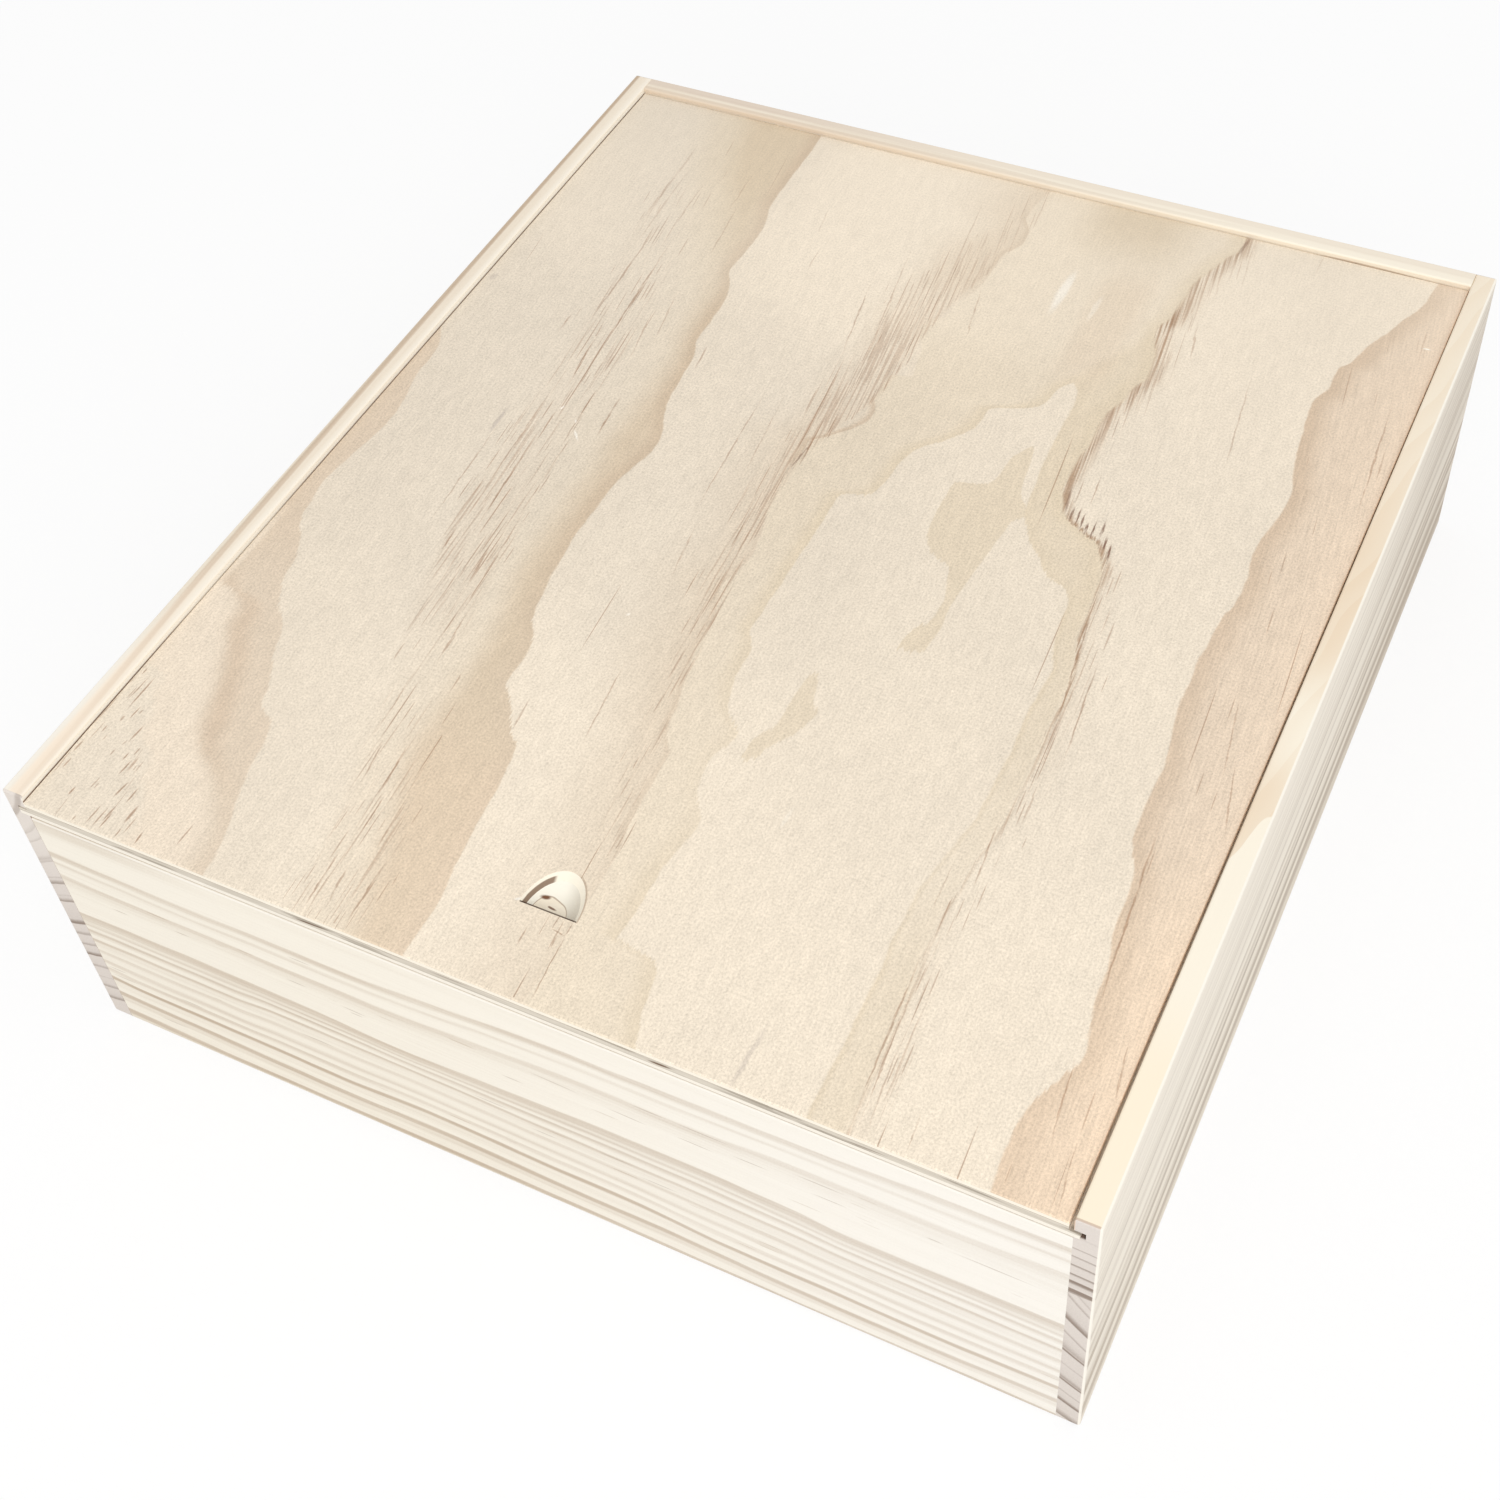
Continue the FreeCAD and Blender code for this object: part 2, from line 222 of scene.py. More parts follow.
# Rings round a pith outside the board.
sway = cloud(place, (0.09, 0.01, 0.09)) * 1.6 - 0.8
turning = front_to_back(y, [
    (0, 0), (30, 1), (110, 3.2), (190, 4), (270, 4.7), (350, 4.9), (380, 5)], 0, 10)
pith_across = x + 23 + turning
pith_up = z - 123 + sway
radius = distance(pith_across, pith_up)
late = graph(radius, 20, 130, [
    (20, 0.1), (28.4, 0.12), (29.2, 0.75), (30.6, 0.95), (31, 0.15), (35.2, 0.1), (36.8, 0.5),
    (37.2, 0.1), (39.3, 0.15), (40.2, 0.5), (40.6, 0.1), (45.9, 0.15), (47.6, 0.5), (48.1, 0.25),
    (48.7, 0.55), (49.1, 0.1), (54.9, 0.1), (55.6, 0.4), (55.9, 0.1), (56.6, 0.2), (58.2, 0.75),
    (58.6, 0.1), (63, 0.1), (63.7, 0.35), (64, 0.1), (64.8, 0.2), (66.4, 0.7), (66.8, 0.1), (74.9, 0.2),
    (77.1, 1), (77.6, 0.1), (81, 0.15), (82.6, 0.6), (83, 0.1), (86.6, 0.15), (88, 0.55), (88.4, 0.1),
    (91.6, 0.2), (93.5, 0.95), (93.9, 0.1), (98.4, 0.15), (99.7, 0.55), (100.1, 0.1), (105, 0.1),
    (105.7, 0.35), (106, 0.1), (109.5, 0.15), (111, 0.6), (111.4, 0.1), (115.7, 0.2), (117.7, 0.7),
    (118.1, 0.1), (130, 0.1)], handles="VECTOR")
end = sawn_ends(y)
colour, roughness, height = planed_pine(
    place, late, late, (1.1, 0.02, 1.1), end, tint(246, 236, 218), tint(196, 172, 146))
colour = (end * z.fade(66, 96) * 0.45).mix(colour, tint(238, 230, 221))
# Top edge and the wall inside it, lightened with painted highlights, and the painted shade beside the
# lid.
rim = top_edge(z) * (1 - end)
# A painted highlight lightens the top edge from 1.2 mm in, most towards the front.
colour = (rim * x.fade(1.2, 2.6) * (0.3 + y.fade(130, 20) * 0.5)).mix(colour, tint(255, 238, 217))
# Painted highlights along the inner arris, and on the outer arris near the front.
inner_from = front_to_back(y, [(0, 5.0), (40, 4.8), (100, 3.6), (150, 4.2), (380, 3.8)], 0, 10)
inner_arris_highlight = (x - inner_from).fade(0, 2.6)
colour = (rim * inner_arris_highlight * 0.85).mix(colour, tint(255, 246, 230))
front_outer_highlight = rim * x.fade(3.4, 1.0) * y.fade(90, 40)
colour = (front_outer_highlight * 0.7).mix(colour, tint(255, 250, 240))
# The wall above the groove is painted nearly white, a painted highlight.
wall = x.fade(6.6, 6.9) * z.between(GROOVE_ROOF + 0.1, RIM - 0.7, 0.1)
colour = (wall * 0.9).mix(colour, tint(255, 250, 238))
# A dark brown line beside the lid's edge, a painted shade.
beside_lid = x.fade(6.9, 6.95) * z.fade(113.1, 112.9)
beside_dark = front_to_back(y, [
    (0, 0.8), (60, 0.7), (90, 0.2), (115, 0.2), (150, 0.6), (300, 0.65), (380, 0.6)])
colour = (beside_lid * beside_dark).mix(colour, tint(136, 92, 64))
finish("left_side_board", left_pine, colour, roughness, height, PINE_RELIEF)

right_pine, place = start_finish("right_side_pine")
x, y, z = axes(place)
# Lower strip, with rings round a pith outside the board, along grain that rises and falls.
ripple = cloud(place, (0.0, 0.03, 0.05)) * 1.6 - 0.8
risen = starting_height(y, z + ripple, [
    (0, [(0, 0), (380, 0)]),
    (8, [(0, 8.2), (25, 8.8), (90, 10.5), (150, 12.5), (200, 15), (260, 14), (330, 11), (380, 10)]),
    (21, [(0, 21.1), (25, 21), (90, 23.3), (150, 25), (200, 26.3), (260, 26), (330, 23), (380, 21)]),
    (39, [(0, 38), (25, 35.7), (90, 38.5), (200, 40.3), (330, 38), (380, 37)]),
    (48, [(0, 46.5), (25, 44.5), (90, 46.8), (200, 46.5), (330, 44), (380, 43)]),
    (55, [(0, 54.5), (25, 52.5), (90, 54.5), (200, 53.5), (330, 51), (380, 50)]),
    (66, [(0, 66), (25, 64.5), (90, 66), (200, 68.5), (330, 66), (380, 66)]),
    (GLUE_LINE, [(0, GLUE_LINE), (380, GLUE_LINE)]),
    (118, [(0, 118), (380, 118)])])
pith_across = 401 - x
pith_up = 129 - risen
radius = distance(pith_across, pith_up)
lower_end = graph(radius, 88, 152, [
    (88, 0.1), (91, 0.15), (91.6, 0.4), (92, 0.1), (93.5, 0.1), (94.6, 0.5), (94.9, 0.1), (99.8, 0.2),
    (102.2, 0.9), (102.7, 0.1), (106.6, 0.1), (107.5, 0.5), (107.8, 0.1), (110.6, 0.2), (113, 0.5),
    (113.4, 0.3), (114.3, 1), (114.8, 0.1), (120, 0.12), (121, 0.35), (121.4, 0.1), (126.4, 0.2),
    (128, 0.6), (128.4, 0.35), (129.2, 1), (129.7, 0.1), (134, 0.1), (134.9, 0.45), (135.2, 0.1),
    (138.4, 0.2), (140.1, 1), (140.6, 0.1), (145, 0.15), (148, 0.7), (148.5, 0.1),
    (152, 0.1)], handles="VECTOR")
lower_face = graph(radius, 88, 152, [
    (88, 0.3), (91, 0.16), (93, 0.26), (94.6, 0.3), (96.5, 0.08), (99.6, 0.04), (101, 0.3),
    (102.5, 0.52), (104.7, 0.12), (106, 0.3), (107.6, 0.55), (109.4, 0.4), (111, 0.3), (112.6, 0.6),
    (114.4, 0.85), (116.5, 0.4), (119, 0.1), (122, 0.25), (126, 0.5), (129.2, 0.9), (131, 0.55),
    (133.8, 0.12), (136.5, 0.45), (139.4, 0.85), (141.5, 0.75), (144, 0.35), (148, 0.3), (152, 0.4)])
# Upper strip, with nearly level rings.
level = z + (x - 326.5) * 0.06 + cloud(place, (0.02, 0.006, 0.0)) * 4.0 - 2
upper_end = graph(level, 74, 118, [
    (74, 0.1), (76.6, 0.5), (77.4, 1), (78.6, 1), (79, 0.1), (81, 0.2), (82.2, 0.9), (83, 0.95),
    (83.4, 0.1), (85.6, 0.15), (86.7, 0.8), (87.1, 0.1), (90.6, 0.1), (91.6, 0.75), (92, 0.1),
    (95.2, 0.1), (96.1, 0.6), (96.5, 0.05), (99.6, 0.05), (100.2, 0.55), (100.6, 0.05), (105, 0.05),
    (106, 0.2), (106.4, 0.05), (118, 0.05)], handles="VECTOR")
upper_face = graph(level, 74, 118, [
    (74, 0.6), (77, 0.55), (79, 0.3), (80, 0.26), (81, 0.42), (82, 0.36), (83.6, 0.25), (85, 0.34),
    (86, 0.2), (87.4, 0.06), (89, 0.3), (90.4, 0.18), (92, 0.06), (94.8, 0.26), (96, 0.1), (98, 0.2),
    (99.6, 0.16), (101.6, 0.02), (104.4, 0.2), (107, 0.1), (110, 0.16), (113, 0), (118, 0)])
strip = z.fade(GLUE_LINE - 0.1, GLUE_LINE + 0.1)
end = sawn_ends(y)
fine = cloud(place, (0.0, 0.003, 0.75), 3.0, 0.75)
# The face grows darker towards the back, a painted shade for the light falling off.
back_falloff_shade = y.fade(200, 360) * 0.2
face_late = strip * upper_face + (1 - strip) * lower_face + (fine - 0.5) * 0.95
face_late = face_late + y.fade(40, 380) * 0.12 + back_falloff_shade
end_late = strip * upper_end + (1 - strip) * lower_end
colour, roughness, height = planed_pine(
    place, face_late, end_late, (1.1, 0.015, 1.1), end, tint(255, 247, 233), tint(194, 179, 161))
# Top edge, with a tan ring across its back half and a painted highlight along it.
rim = top_edge(z) * (1 - end)
tan_edge = y - graph(x, 321, 330, [
    (321, 110), (322.7, 113.5), (324.8, 119), (325.9, 124.5), (327.3, 130), (330, 133)], 90, 150)
rings = (y * 0.035 - x * 0.16 + cloud(place, (0.0, 0.02, 0.0), 1.0) * 2.0).math("FRACT").fade(0.0, 1.0)
tan_share = graph(y, 100, 380, [
    (100, 0.62), (135, 0.65), (165, 0.15), (180, 0.3), (215, 0.7), (255, 0.6), (280, 0.45), (320, 0.35),
    (380, 0.35)])
rim_tan = rim * tan_edge.fade(-0.4, 0.4) * (tan_share + (rings - 0.5) * 0.16) * x.fade(330.2, 328.9)
# A painted highlight lightens the whole top edge, and it is warmer towards the front.
colour = (rim * 0.85).mix(colour, tint(255, 246, 227))
colour = (rim * y.fade(75, 40) * 0.5).mix(colour, tint(255, 238, 208))
colour = rim_tan.mix(colour, tint(238, 214, 184))
# Glue line, the lip and the groove in painted shade, and the eased edges, the outer one with a painted
# highlight.
glue = abs(z - GLUE_LINE).fade(0.25, 0.1)
colour = (glue * 0.35).mix(colour, tint(140, 118, 96))
# The lip's inner face, seen only down the gap beside the lid, is painted warm brown, a painted shade.
lip = x.fade(323.3, 323.1) * z.fade(109.6, 110) * (1 - rim)
colour = (lip * 0.8).mix(colour, tint(236, 206, 182))
# The inside of the groove is painted dark brown, a painted shade.
groove = x.between(323.1, 326.3, 0.05) * z.between(GROOVE_FLOOR, GROOVE_ROOF, 0.1) * y.fade(0.05, 0.5)
colour = (groove * 0.9).mix(colour, tint(104, 74, 58))
front_arris = z.fade(114.0, 114.5) * y.between(0.3, 0.75, 0.15)
colour = (front_arris * 0.55).mix(colour, tint(196, 164, 134))
# A painted highlight on the outer arris of the top edge and on the corner arrises at the ends.
corner_arris_highlight = x.fade(329.2, 329.5) * (z.fade(114.0, 114.4) + end).fade(0, 1)
colour = (corner_arris_highlight * 0.9).mix(colour, tint(254, 248, 236))
finish("right_side_board", right_pine, colour, roughness, height - glue * 0.8, PINE_RELIEF)

# ---- Front board -------------------------------------------------------------
# One length of flat-sawn pine between the side boards, with its annual rings as long wavy lines. It is
# lower than the sides, because the lid slides out over its top edge.


def point(x, y, z):
    """A place from its coordinates, of which x or y is a Socket."""
    maker = x if isinstance(x, Socket) else y
    return maker.node("CombineXYZ", {}, {0: x, 1: y, 2: z})


def dashes(across, along, width, length, density, thickness=0.1):
    """Short dark marks in the grain, one to each cell of width by length, fewer if density is low."""
    cells = point(across / width, along / length, 0.0)
    inputs = {"Vector": cells, "Scale": 1.0, "Randomness": 1.0}
    near = cells.node("TexVoronoi", {"voronoi_dimensions": "2D"}, inputs)
    chance = near.node("SeparateColor", {}, {0: near.beside("Color")})
    size = chance.beside("Green") * thickness + 0.5 * thickness
    return near.fade(size, size * 0.5) * (chance < density)


def marks(x, y, drawn):
    """Single slender marks, each given by its two ends, half its width and how strong it is."""
    total = 0.0
    # Each mark is fed the total so far, made too small to matter, so that they are worked out in turn.
    for start_x, start_y, end_x, end_y, width, strength in drawn:
        along = (end_x - start_x, end_y - start_y)
        inputs = {
            "Vector": point(x, y, total),
            "Location": ((start_x + end_x) / 2, (start_y + end_y) / 2, 0.0),
            "Rotation": (0.0, 0.0, math.atan2(along[1], along[0])),
            "Scale": (math.hypot(*along) / 2, width, 1000.0)}
        inside = x.node("Mapping", {"vector_type": "TEXTURE"}, inputs)
        far = x.node("VectorMath", {"operation": "LENGTH"}, {0: inside}, 1)
        total = far.fade(1.0, 0.35, strength).math("MAXIMUM", total)
    return total


front_pine, place = start_finish("front_pine")
x, y, z = axes(place)
# Rings, by the height at which each starts at the left end.
ripple = cloud(place, (0.035, 0.0, 0.08)) * 1.4 - 0.7
risen = starting_height(x, z + y * 0.7 + ripple, [
    (0, [(0, 0), (330, 0)]),
    (3, [(0, 4.4), (40, 2.9), (80, 2.1), (165, 2.1), (200, 1), (330, 0.5)]),
    (13, [(0, 15.2), (50, 13.5), (90, 12.5), (130, 13.7), (170, 12), (200, 12), (215, 11), (240, 10),
          (270, 9.3), (330, 11)]),
    (22, [(0, 24), (30, 22), (60, 22), (95, 21.5), (125, 23.2), (160, 22), (195, 21.5), (225, 18.8),
          (250, 18.8), (280, 17.8), (330, 19.4)]),
    (45, [(0, 44.7), (60, 44.7), (75, 46.3), (130, 46.3), (160, 45.5), (200, 45.1), (240, 44),
          (265, 42.5), (330, 42.5)]),
    (58, [(0, 58.6), (40, 59.1), (90, 58.2), (120, 56.5), (160, 58.4), (200, 59.7), (245, 58.5),
          (262, 56.5), (330, 57.5)]),
    (77, [(0, 77.8), (40, 76.6), (65, 76.8), (95, 76), (130, 76.4), (145, 77.9), (180, 80.4),
          (220, 80.8), (240, 82.6), (262, 83), (280, 82.6), (300, 83.2), (330, 86)]),
    (88.5, [(0, 88.6), (30, 88.2), (50, 87.4), (80, 88.2), (110, 88.2), (140, 90.4), (167, 93),
            (200, 94.4), (220, 94.8), (255, 95.7), (290, 98.1), (330, 99.6)]),
    (106, [(0, 106), (120, 106), (200, 109), (330, 112)])])
late = graph(risen, 0, 106, [
    (0, 0.3), (1.5, 0.45), (2.6, 0.85), (3.4, 0.85), (4.4, 0.4), (5.2, 0.1), (7.4, 0.08), (8.6, 0.2),
    (9.4, 0.37), (10.4, 0.33), (11.2, 0.45), (12, 0.82), (12.9, 0.82), (13.7, 0.5), (14.3, 0.1),
    (15, 0.03), (16.5, 0.12), (18.2, 0.2), (19.6, 0.18), (20.6, 0.45), (21.4, 1), (22, 1),
    (22.8, 0.4), (23.4, 0.05), (24.2, 0.08), (25.8, 0.22), (26.8, 0.5), (27.4, 0.52), (28.2, 0.35),
    (28.8, 0.05), (30, 0.12), (31, 0.35), (31.8, 0.55), (32.5, 0.5), (33.6, 0.2), (35, 0.1),
    (36.4, 0.17), (37.3, 0.42), (38, 0.5), (39, 0.42), (39.8, 0.15), (41, 0.24), (43, 0.26), (44, 0.6),
    (44.8, 0.72), (45.5, 0.3), (46.2, 0.08), (47.5, 0.25), (48.6, 0.4), (49.4, 0.62), (50, 0.52),
    (50.6, 0.08), (51.4, 0.12), (52, 0.45), (52.6, 0.5), (53.4, 0.25), (54, 0.28), (54.6, 0.52),
    (56, 0.6), (57.6, 0.65), (58.1, 0.3), (58.6, 0.02), (60, 0), (68, 0.05), (72, 0.16), (75, 0.32),
    (76, 0.5), (77, 0.5), (77.8, 0.3), (78.6, 0.02), (81, 0.05), (82.8, 0.2), (83.6, 0.4), (84.2, 0.3),
    (85.4, 0.06), (86.2, 0.2), (87, 0.45), (88.6, 0.62), (89.2, 0.5), (89.8, 0.1), (90.4, 0),
    (96, 0), (103, 0.06), (106, 0.1)])
uneven = cloud(place, (0.012, 0.0, 0.05)) * 0.7 + 0.55
late = late * uneven + x.fade(80, 20) * z.fade(96, 104) * 0.35
broken_share = z.between(64, 80, 3) * 0.35 + z.between(24, 44, 4) * 0.15
broken = dashes(z + x * 0.01, x, 2.2, 50.0, broken_share, 0.08)
late = late + broken * 0.5
# Thin hairs of latewood between the rings.
hairs = marks(x, z, [(*ends, 0.26, 0.5) for ends in [
    (85, 71, 94, 71), (103, 68.5, 114, 68), (106, 66.8, 112, 66.8), (156, 67, 165, 67),
    (165, 75.5, 185, 74.5), (190, 73.2, 205, 72.6), (211, 73.2, 225, 73), (228, 75.4, 241, 75.6),
    (198, 80.7, 211, 80.7), (211, 80.6, 231, 80.6), (246, 79.4, 264, 79.4), (251, 72.8, 264, 72.8),
    (290, 72.4, 317, 72.4), (284, 74.7, 290, 74.7), (23, 69.8, 30, 69.8), (46, 72, 53, 72),
    (89, 85, 99, 85), (183, 44.5, 198, 44.5), (196, 39.7, 211, 39.7), (82, 40, 96, 40),
    (162, 41.5, 172, 41.5), (142, 47.3, 158, 47.3), (7, 30, 16, 30), (7, 25.9, 20, 25.9),
    (33, 28.5, 46, 28.5), (20, 9.4, 33, 9.4)]])
# The board's ends are hidden in the joints.
no_end = x * 0.0
pale = x.fade(100, 320).mix(tint(249, 242, 228), tint(251, 246, 237))
brown = x.fade(100, 320).mix(tint(194, 174, 150), tint(205, 190, 172))
colour, roughness, height = planed_pine(place, late, late, (0.02, 1.1, 1.1), no_end, pale, brown)
colour = hairs.mix(colour, tint(150, 128, 106))
# The eased top edge, with a painted highlight along it and a painted shadow under the lid.
# A painted highlight along the eased edge.
arris = z.between(104.6, 105.15, 0.15) * y.fade(0.8, 0.5)
colour = (arris * 0.7).mix(colour, tint(252, 247, 238))
# The top of the arris, under the lid, is painted dark, a painted shadow.
lid_edge_shadow = z.fade(105.2, 105.35) * y.fade(0.2, 0.4)
colour = (lid_edge_shadow * 0.6).mix(colour, tint(150, 132, 112))
finish("front_board", front_pine, colour, roughness, height, PINE_RELIEF)

# ---- Back board --------------------------------------------------------------
# One length of pine between the side boards, as high as they are, with the lid's groove ploughed in
# its inner face. Its rings lie more level than the front board's, so its lines are nearly straight.

back_pine, place = start_finish("back_pine")
x, y, z = axes(place)
sway = cloud(place, (0.008, 0.0, 0.0), 1.0) * 9.0 + cloud(place, (0.012, 0.09, 0.09)) * 1.6
rings = cloud(place, (0.0, 0.03, 0.13), 1.0) * 2.0
phase = ((z - (BOX_LENGTH - y) * 0.9 + sway) / 6.1 + rings).math("FRACT")
uneven = cloud(place, (0.004, 0.08, 0.11), 1.0) * 1.6 - 0.3
late = phase.fade(0.45, 0.95) * phase.fade(1.0, 0.95) * uneven
no_end = x * 0.0
colour, roughness, height = planed_pine(
    place, late, late, (0.02, 1.1, 1.1), no_end, tint(248, 237, 218), tint(198, 172, 146))
# Top edge, lightened more towards the right, a painted highlight.
rim = top_edge(z)
colour = (rim * (0.2 + x.fade(60, 300) * 0.7)).mix(colour, tint(255, 246, 228))
inner_half = y.fade(375.6, 374.2) * z.fade(112.9, 113.2) * x.fade(260, 60)
colour = (inner_half * 0.55).mix(colour, tint(216, 192, 168))
outer_half = rim * (y + cloud(place, (0.03, 0.0, 0.0)) * 1.4 - 377).fade(-0.6, 0.8)
colour = (outer_half * (0.3 + x.fade(160, 40) * 0.5)).mix(colour, tint(226, 209, 192))
finish("back_board", back_pine, colour, roughness, height, PINE_RELIEF)

# ---- Base panel --------------------------------------------------------------
# Thin three-ply in a rebate routed round the frame from below. Its face plies are sanded rotary-cut
# veneer, so the figure is broad and faint, and the middle ply shows as a darker line at its edge.

base_ply, place = start_finish("base_plywood")
x, y, z = axes(place)
drift = cloud(place, (0.012, 0.003, 0.0), 3.0, 0.55)
rings = (drift * 9.0 + x * 0.012).math("FRACT")
late = rings.fade(0.35, 0.95) * rings.fade(1.0, 0.96) * 0.7
fibres = cloud(place, (1.4, 0.02, 1.4), 3.0, 0.6)
streaks = dashes(x + y * 0.05, y, 3.2, 90.0, late * 0.5, 0.12)
shade = late * 0.7 + (fibres - 0.5) * 0.4 + streaks * 0.4
colour = shade.fade(-0.2, 1.2).mix(tint(240, 228, 206), tint(196, 170, 136))
middle = z.between(1.0, 2.0, 0.08) * 0.35
colour = middle.mix(colour, tint(170, 146, 116))
finish("base_panel", base_ply, colour, 0.66 - late * 0.08, fibres + late * 0.4, 0.00005)

# ---- Base brads --------------------------------------------------------------
# Eighteen brads cut from drawn steel wire, bare and a little tarnished. They are driven through the
# base into the frame until they are flush with the panel.

brad_wire, place = start_finish("brad_wire")
tarnish = cloud(place, (1.6, 1.6, 1.6), 3.0, 0.6)
colour = tarnish.fade(0.35, 0.75).mix(tint(196, 195, 192), tint(150, 146, 140))
brad_wire.node_tree.nodes["Principled BSDF"].inputs["Metallic"].default_value = 1.0
roughness = 0.3 + tarnish * 0.25
drawn_lines = cloud(place, (0.6, 0.6, 5.0))
finish("base_brads", brad_wire, colour, roughness, drawn_lines, 0.00002)

# ---- Lid back veneer ---------------------------------------------------------
# The bottom ply of the lid: rotary-cut pine with its grain from front to back, sanded. Its edges are
# the lid's tongue, and its underside shows inside the box.

LID_TOP = 113.05
NOTCH_Y = 27.15
NOTCH_LEAN = 0.551
NOTCH_KNOT = (157.2, 32.2, 160.4, 34.0, 0.75, 1.0)
KNOT_BROWN = tint(122, 84, 60)
DEEP_SHADE = tint(84, 62, 48)


def around_notch(x, y, front, edge):
    """1 over the thumb notch, from its front edge back."""
    return x.between(153, 173, 0.5) * y.between(front, 43, edge)


def below_front_edge(y, z):
    """1 on the notch's front wall, which leans back as it goes down and lies in shade."""
    return (y - NOTCH_Y - (LID_TOP - z) * NOTCH_LEAN).fade(0.55, 0.3)


lid_back, place = start_finish("lid_back_veneer")
x, y, z = axes(place)
drift = cloud(place, (0.011, 0.0028, 0.0), 3.0, 0.55)
rings = (drift * 7.0 + 0.4).math("FRACT")
late = rings.fade(0.3, 0.95) * rings.fade(1.0, 0.96)
fibres = cloud(place, (1.3, 0.02, 1.3), 3.0, 0.6)
streaks = dashes(x + y * 0.06, y, 3.0, 100.0, late * 0.6, 0.12)
shade = late * 0.55 + (fibres - 0.5) * 0.4 + streaks * 0.4
colour = shade.fade(-0.2, 1.2).mix(tint(245, 233, 212), tint(206, 182, 152))
front_edge = y.fade(0.1, -0.1)
colour = (front_edge * 0.9).mix(colour, tint(250, 243, 230))
scoop = around_notch(x, y, 27.5, 0.5) * z.fade(107.3, 107.5)
colour = scoop.mix(colour, tint(253, 243, 224))
knots = marks(x, y, [NOTCH_KNOT, (159.4, 31.4, 163.4, 31.2, 0.45, 0.9)])
colour = (scoop * knots).mix(colour, KNOT_BROWN)
under = scoop * below_front_edge(y, z)
colour = (under * 0.9).mix(colour, DEEP_SHADE)
finish("lid_back_veneer", lid_back, colour, 0.64 - late * 0.08, fibres + late * 0.3, 0.00005)

# ---- Lid core veneer ---------------------------------------------------------
# The middle ply, with its grain across the lid, so its long fibres show at the sides and their cut ends
# at the front edge, as a greyer band with small dark gaps and knots between the two bright plies.

UNDER_FACE = 111.15

lid_core, place = start_finish("lid_core_veneer")
x, y, z = axes(place)
fibres = cloud(place, (0.05, 1.2, 1.6), 3.0, 0.65)
smears = dashes(z + x * 0.01, x, 1.5, 22.0, 0.4, 0.45)
# Dark gaps between the cut fibres at the front edge.
gaps = marks(x, z, [
    (97, 109.4, 112, 110.2, 0.5, 1.0), (207, 109.6, 216, 110, 0.7, 1.0),
    (36, 109.2, 48, 109.6, 0.35, 0.6), (140, 110.2, 158, 110.4, 0.3, 0.5),
    (262, 109.4, 276, 109.6, 0.35, 0.6)])
shade = (fibres - 0.5) * 1.1 + smears * 0.4 + 0.25
colour = shade.fade(-0.1, 1.1).mix(tint(228, 219, 204), tint(152, 140, 124))
colour = (gaps * y.fade(1.0, 0.0)).mix(colour, tint(124, 100, 80))
# The tongue's shelf, lit by painted light in the gap by the rail, and the glue line under the face
# veneer.
lit_shelf = x.fade(321.7, 321.9) * z.fade(109.2, 109.5) * y.fade(0.5, 2.0)
colour = (lit_shelf * 0.9).mix(colour, tint(255, 244, 226))
seam = (z - UNDER_FACE).fade(-0.35, 0.0) * y.fade(1.0, 0.0)
colour = (seam * 0.5).mix(colour, tint(164, 146, 126))
# The notch, cut through the lower glue line.
scoop = around_notch(x, y, 27.5, 0.5)
# The cut core is cream, greying towards the notch's right side, a painted shade.
cut_and_shade = x.fade(162, 170).mix(tint(252, 247, 233), tint(222, 214, 198))
colour = scoop.mix(colour, cut_and_shade)
contour = z - 108.55 - x.fade(164, 156) * 1.5
colour = (scoop * contour.fade(0.04, -0.04)).mix(colour, tint(251, 240, 220))
colour = (scoop * contour.between(-0.03, 0.03, 0.06) * 0.6).mix(colour, tint(150, 118, 90))
knots = marks(x, y, [NOTCH_KNOT])
colour = (scoop * knots).mix(colour, KNOT_BROWN)
under = scoop * below_front_edge(y, z)
colour = (under * 0.9).mix(colour, DEEP_SHADE)
finish("lid_core_veneer", lid_core, colour, 0.78 - fibres * 0.1, fibres - smears * 0.6 - gaps, 0.0001)

# ---- Lid face veneer ---------------------------------------------------------
# The top ply, one wide sheet peeled from a pine log, so that each annual ring it crosses is a broad tan
# band with a sharp edge on one side. Sanded and left bare. The lines below are those edges, drawn by
# their distance from the left of the box at each distance from its front.

NOTCH_X = 163.1
NOTCH_HALF_WIDTH = 8.9
NOTCH_LENGTH = 14.2

lid_face, place = start_finish("lid_face_veneer")
x, y, z = axes(place)
# The rings' edges are torn along the grain towards the front.
torn = (cloud(place, (1.8, 0.035, 0.0), 3.0, 0.65) - 0.54) * y.fade(300, 140, 8.0)
wander = cloud(place, (0.13, 0.06, 0.0), 3.0, 0.6) * 3.0 - 1.3
ragged_y = y + torn
ragged_x = x + wander


def from_edge(course):
    """Distance to the right of a ring's edge, in mm. The course gives its x at each y, front first."""
    return ragged_x - front_to_back(ragged_y, course, -30, 350)


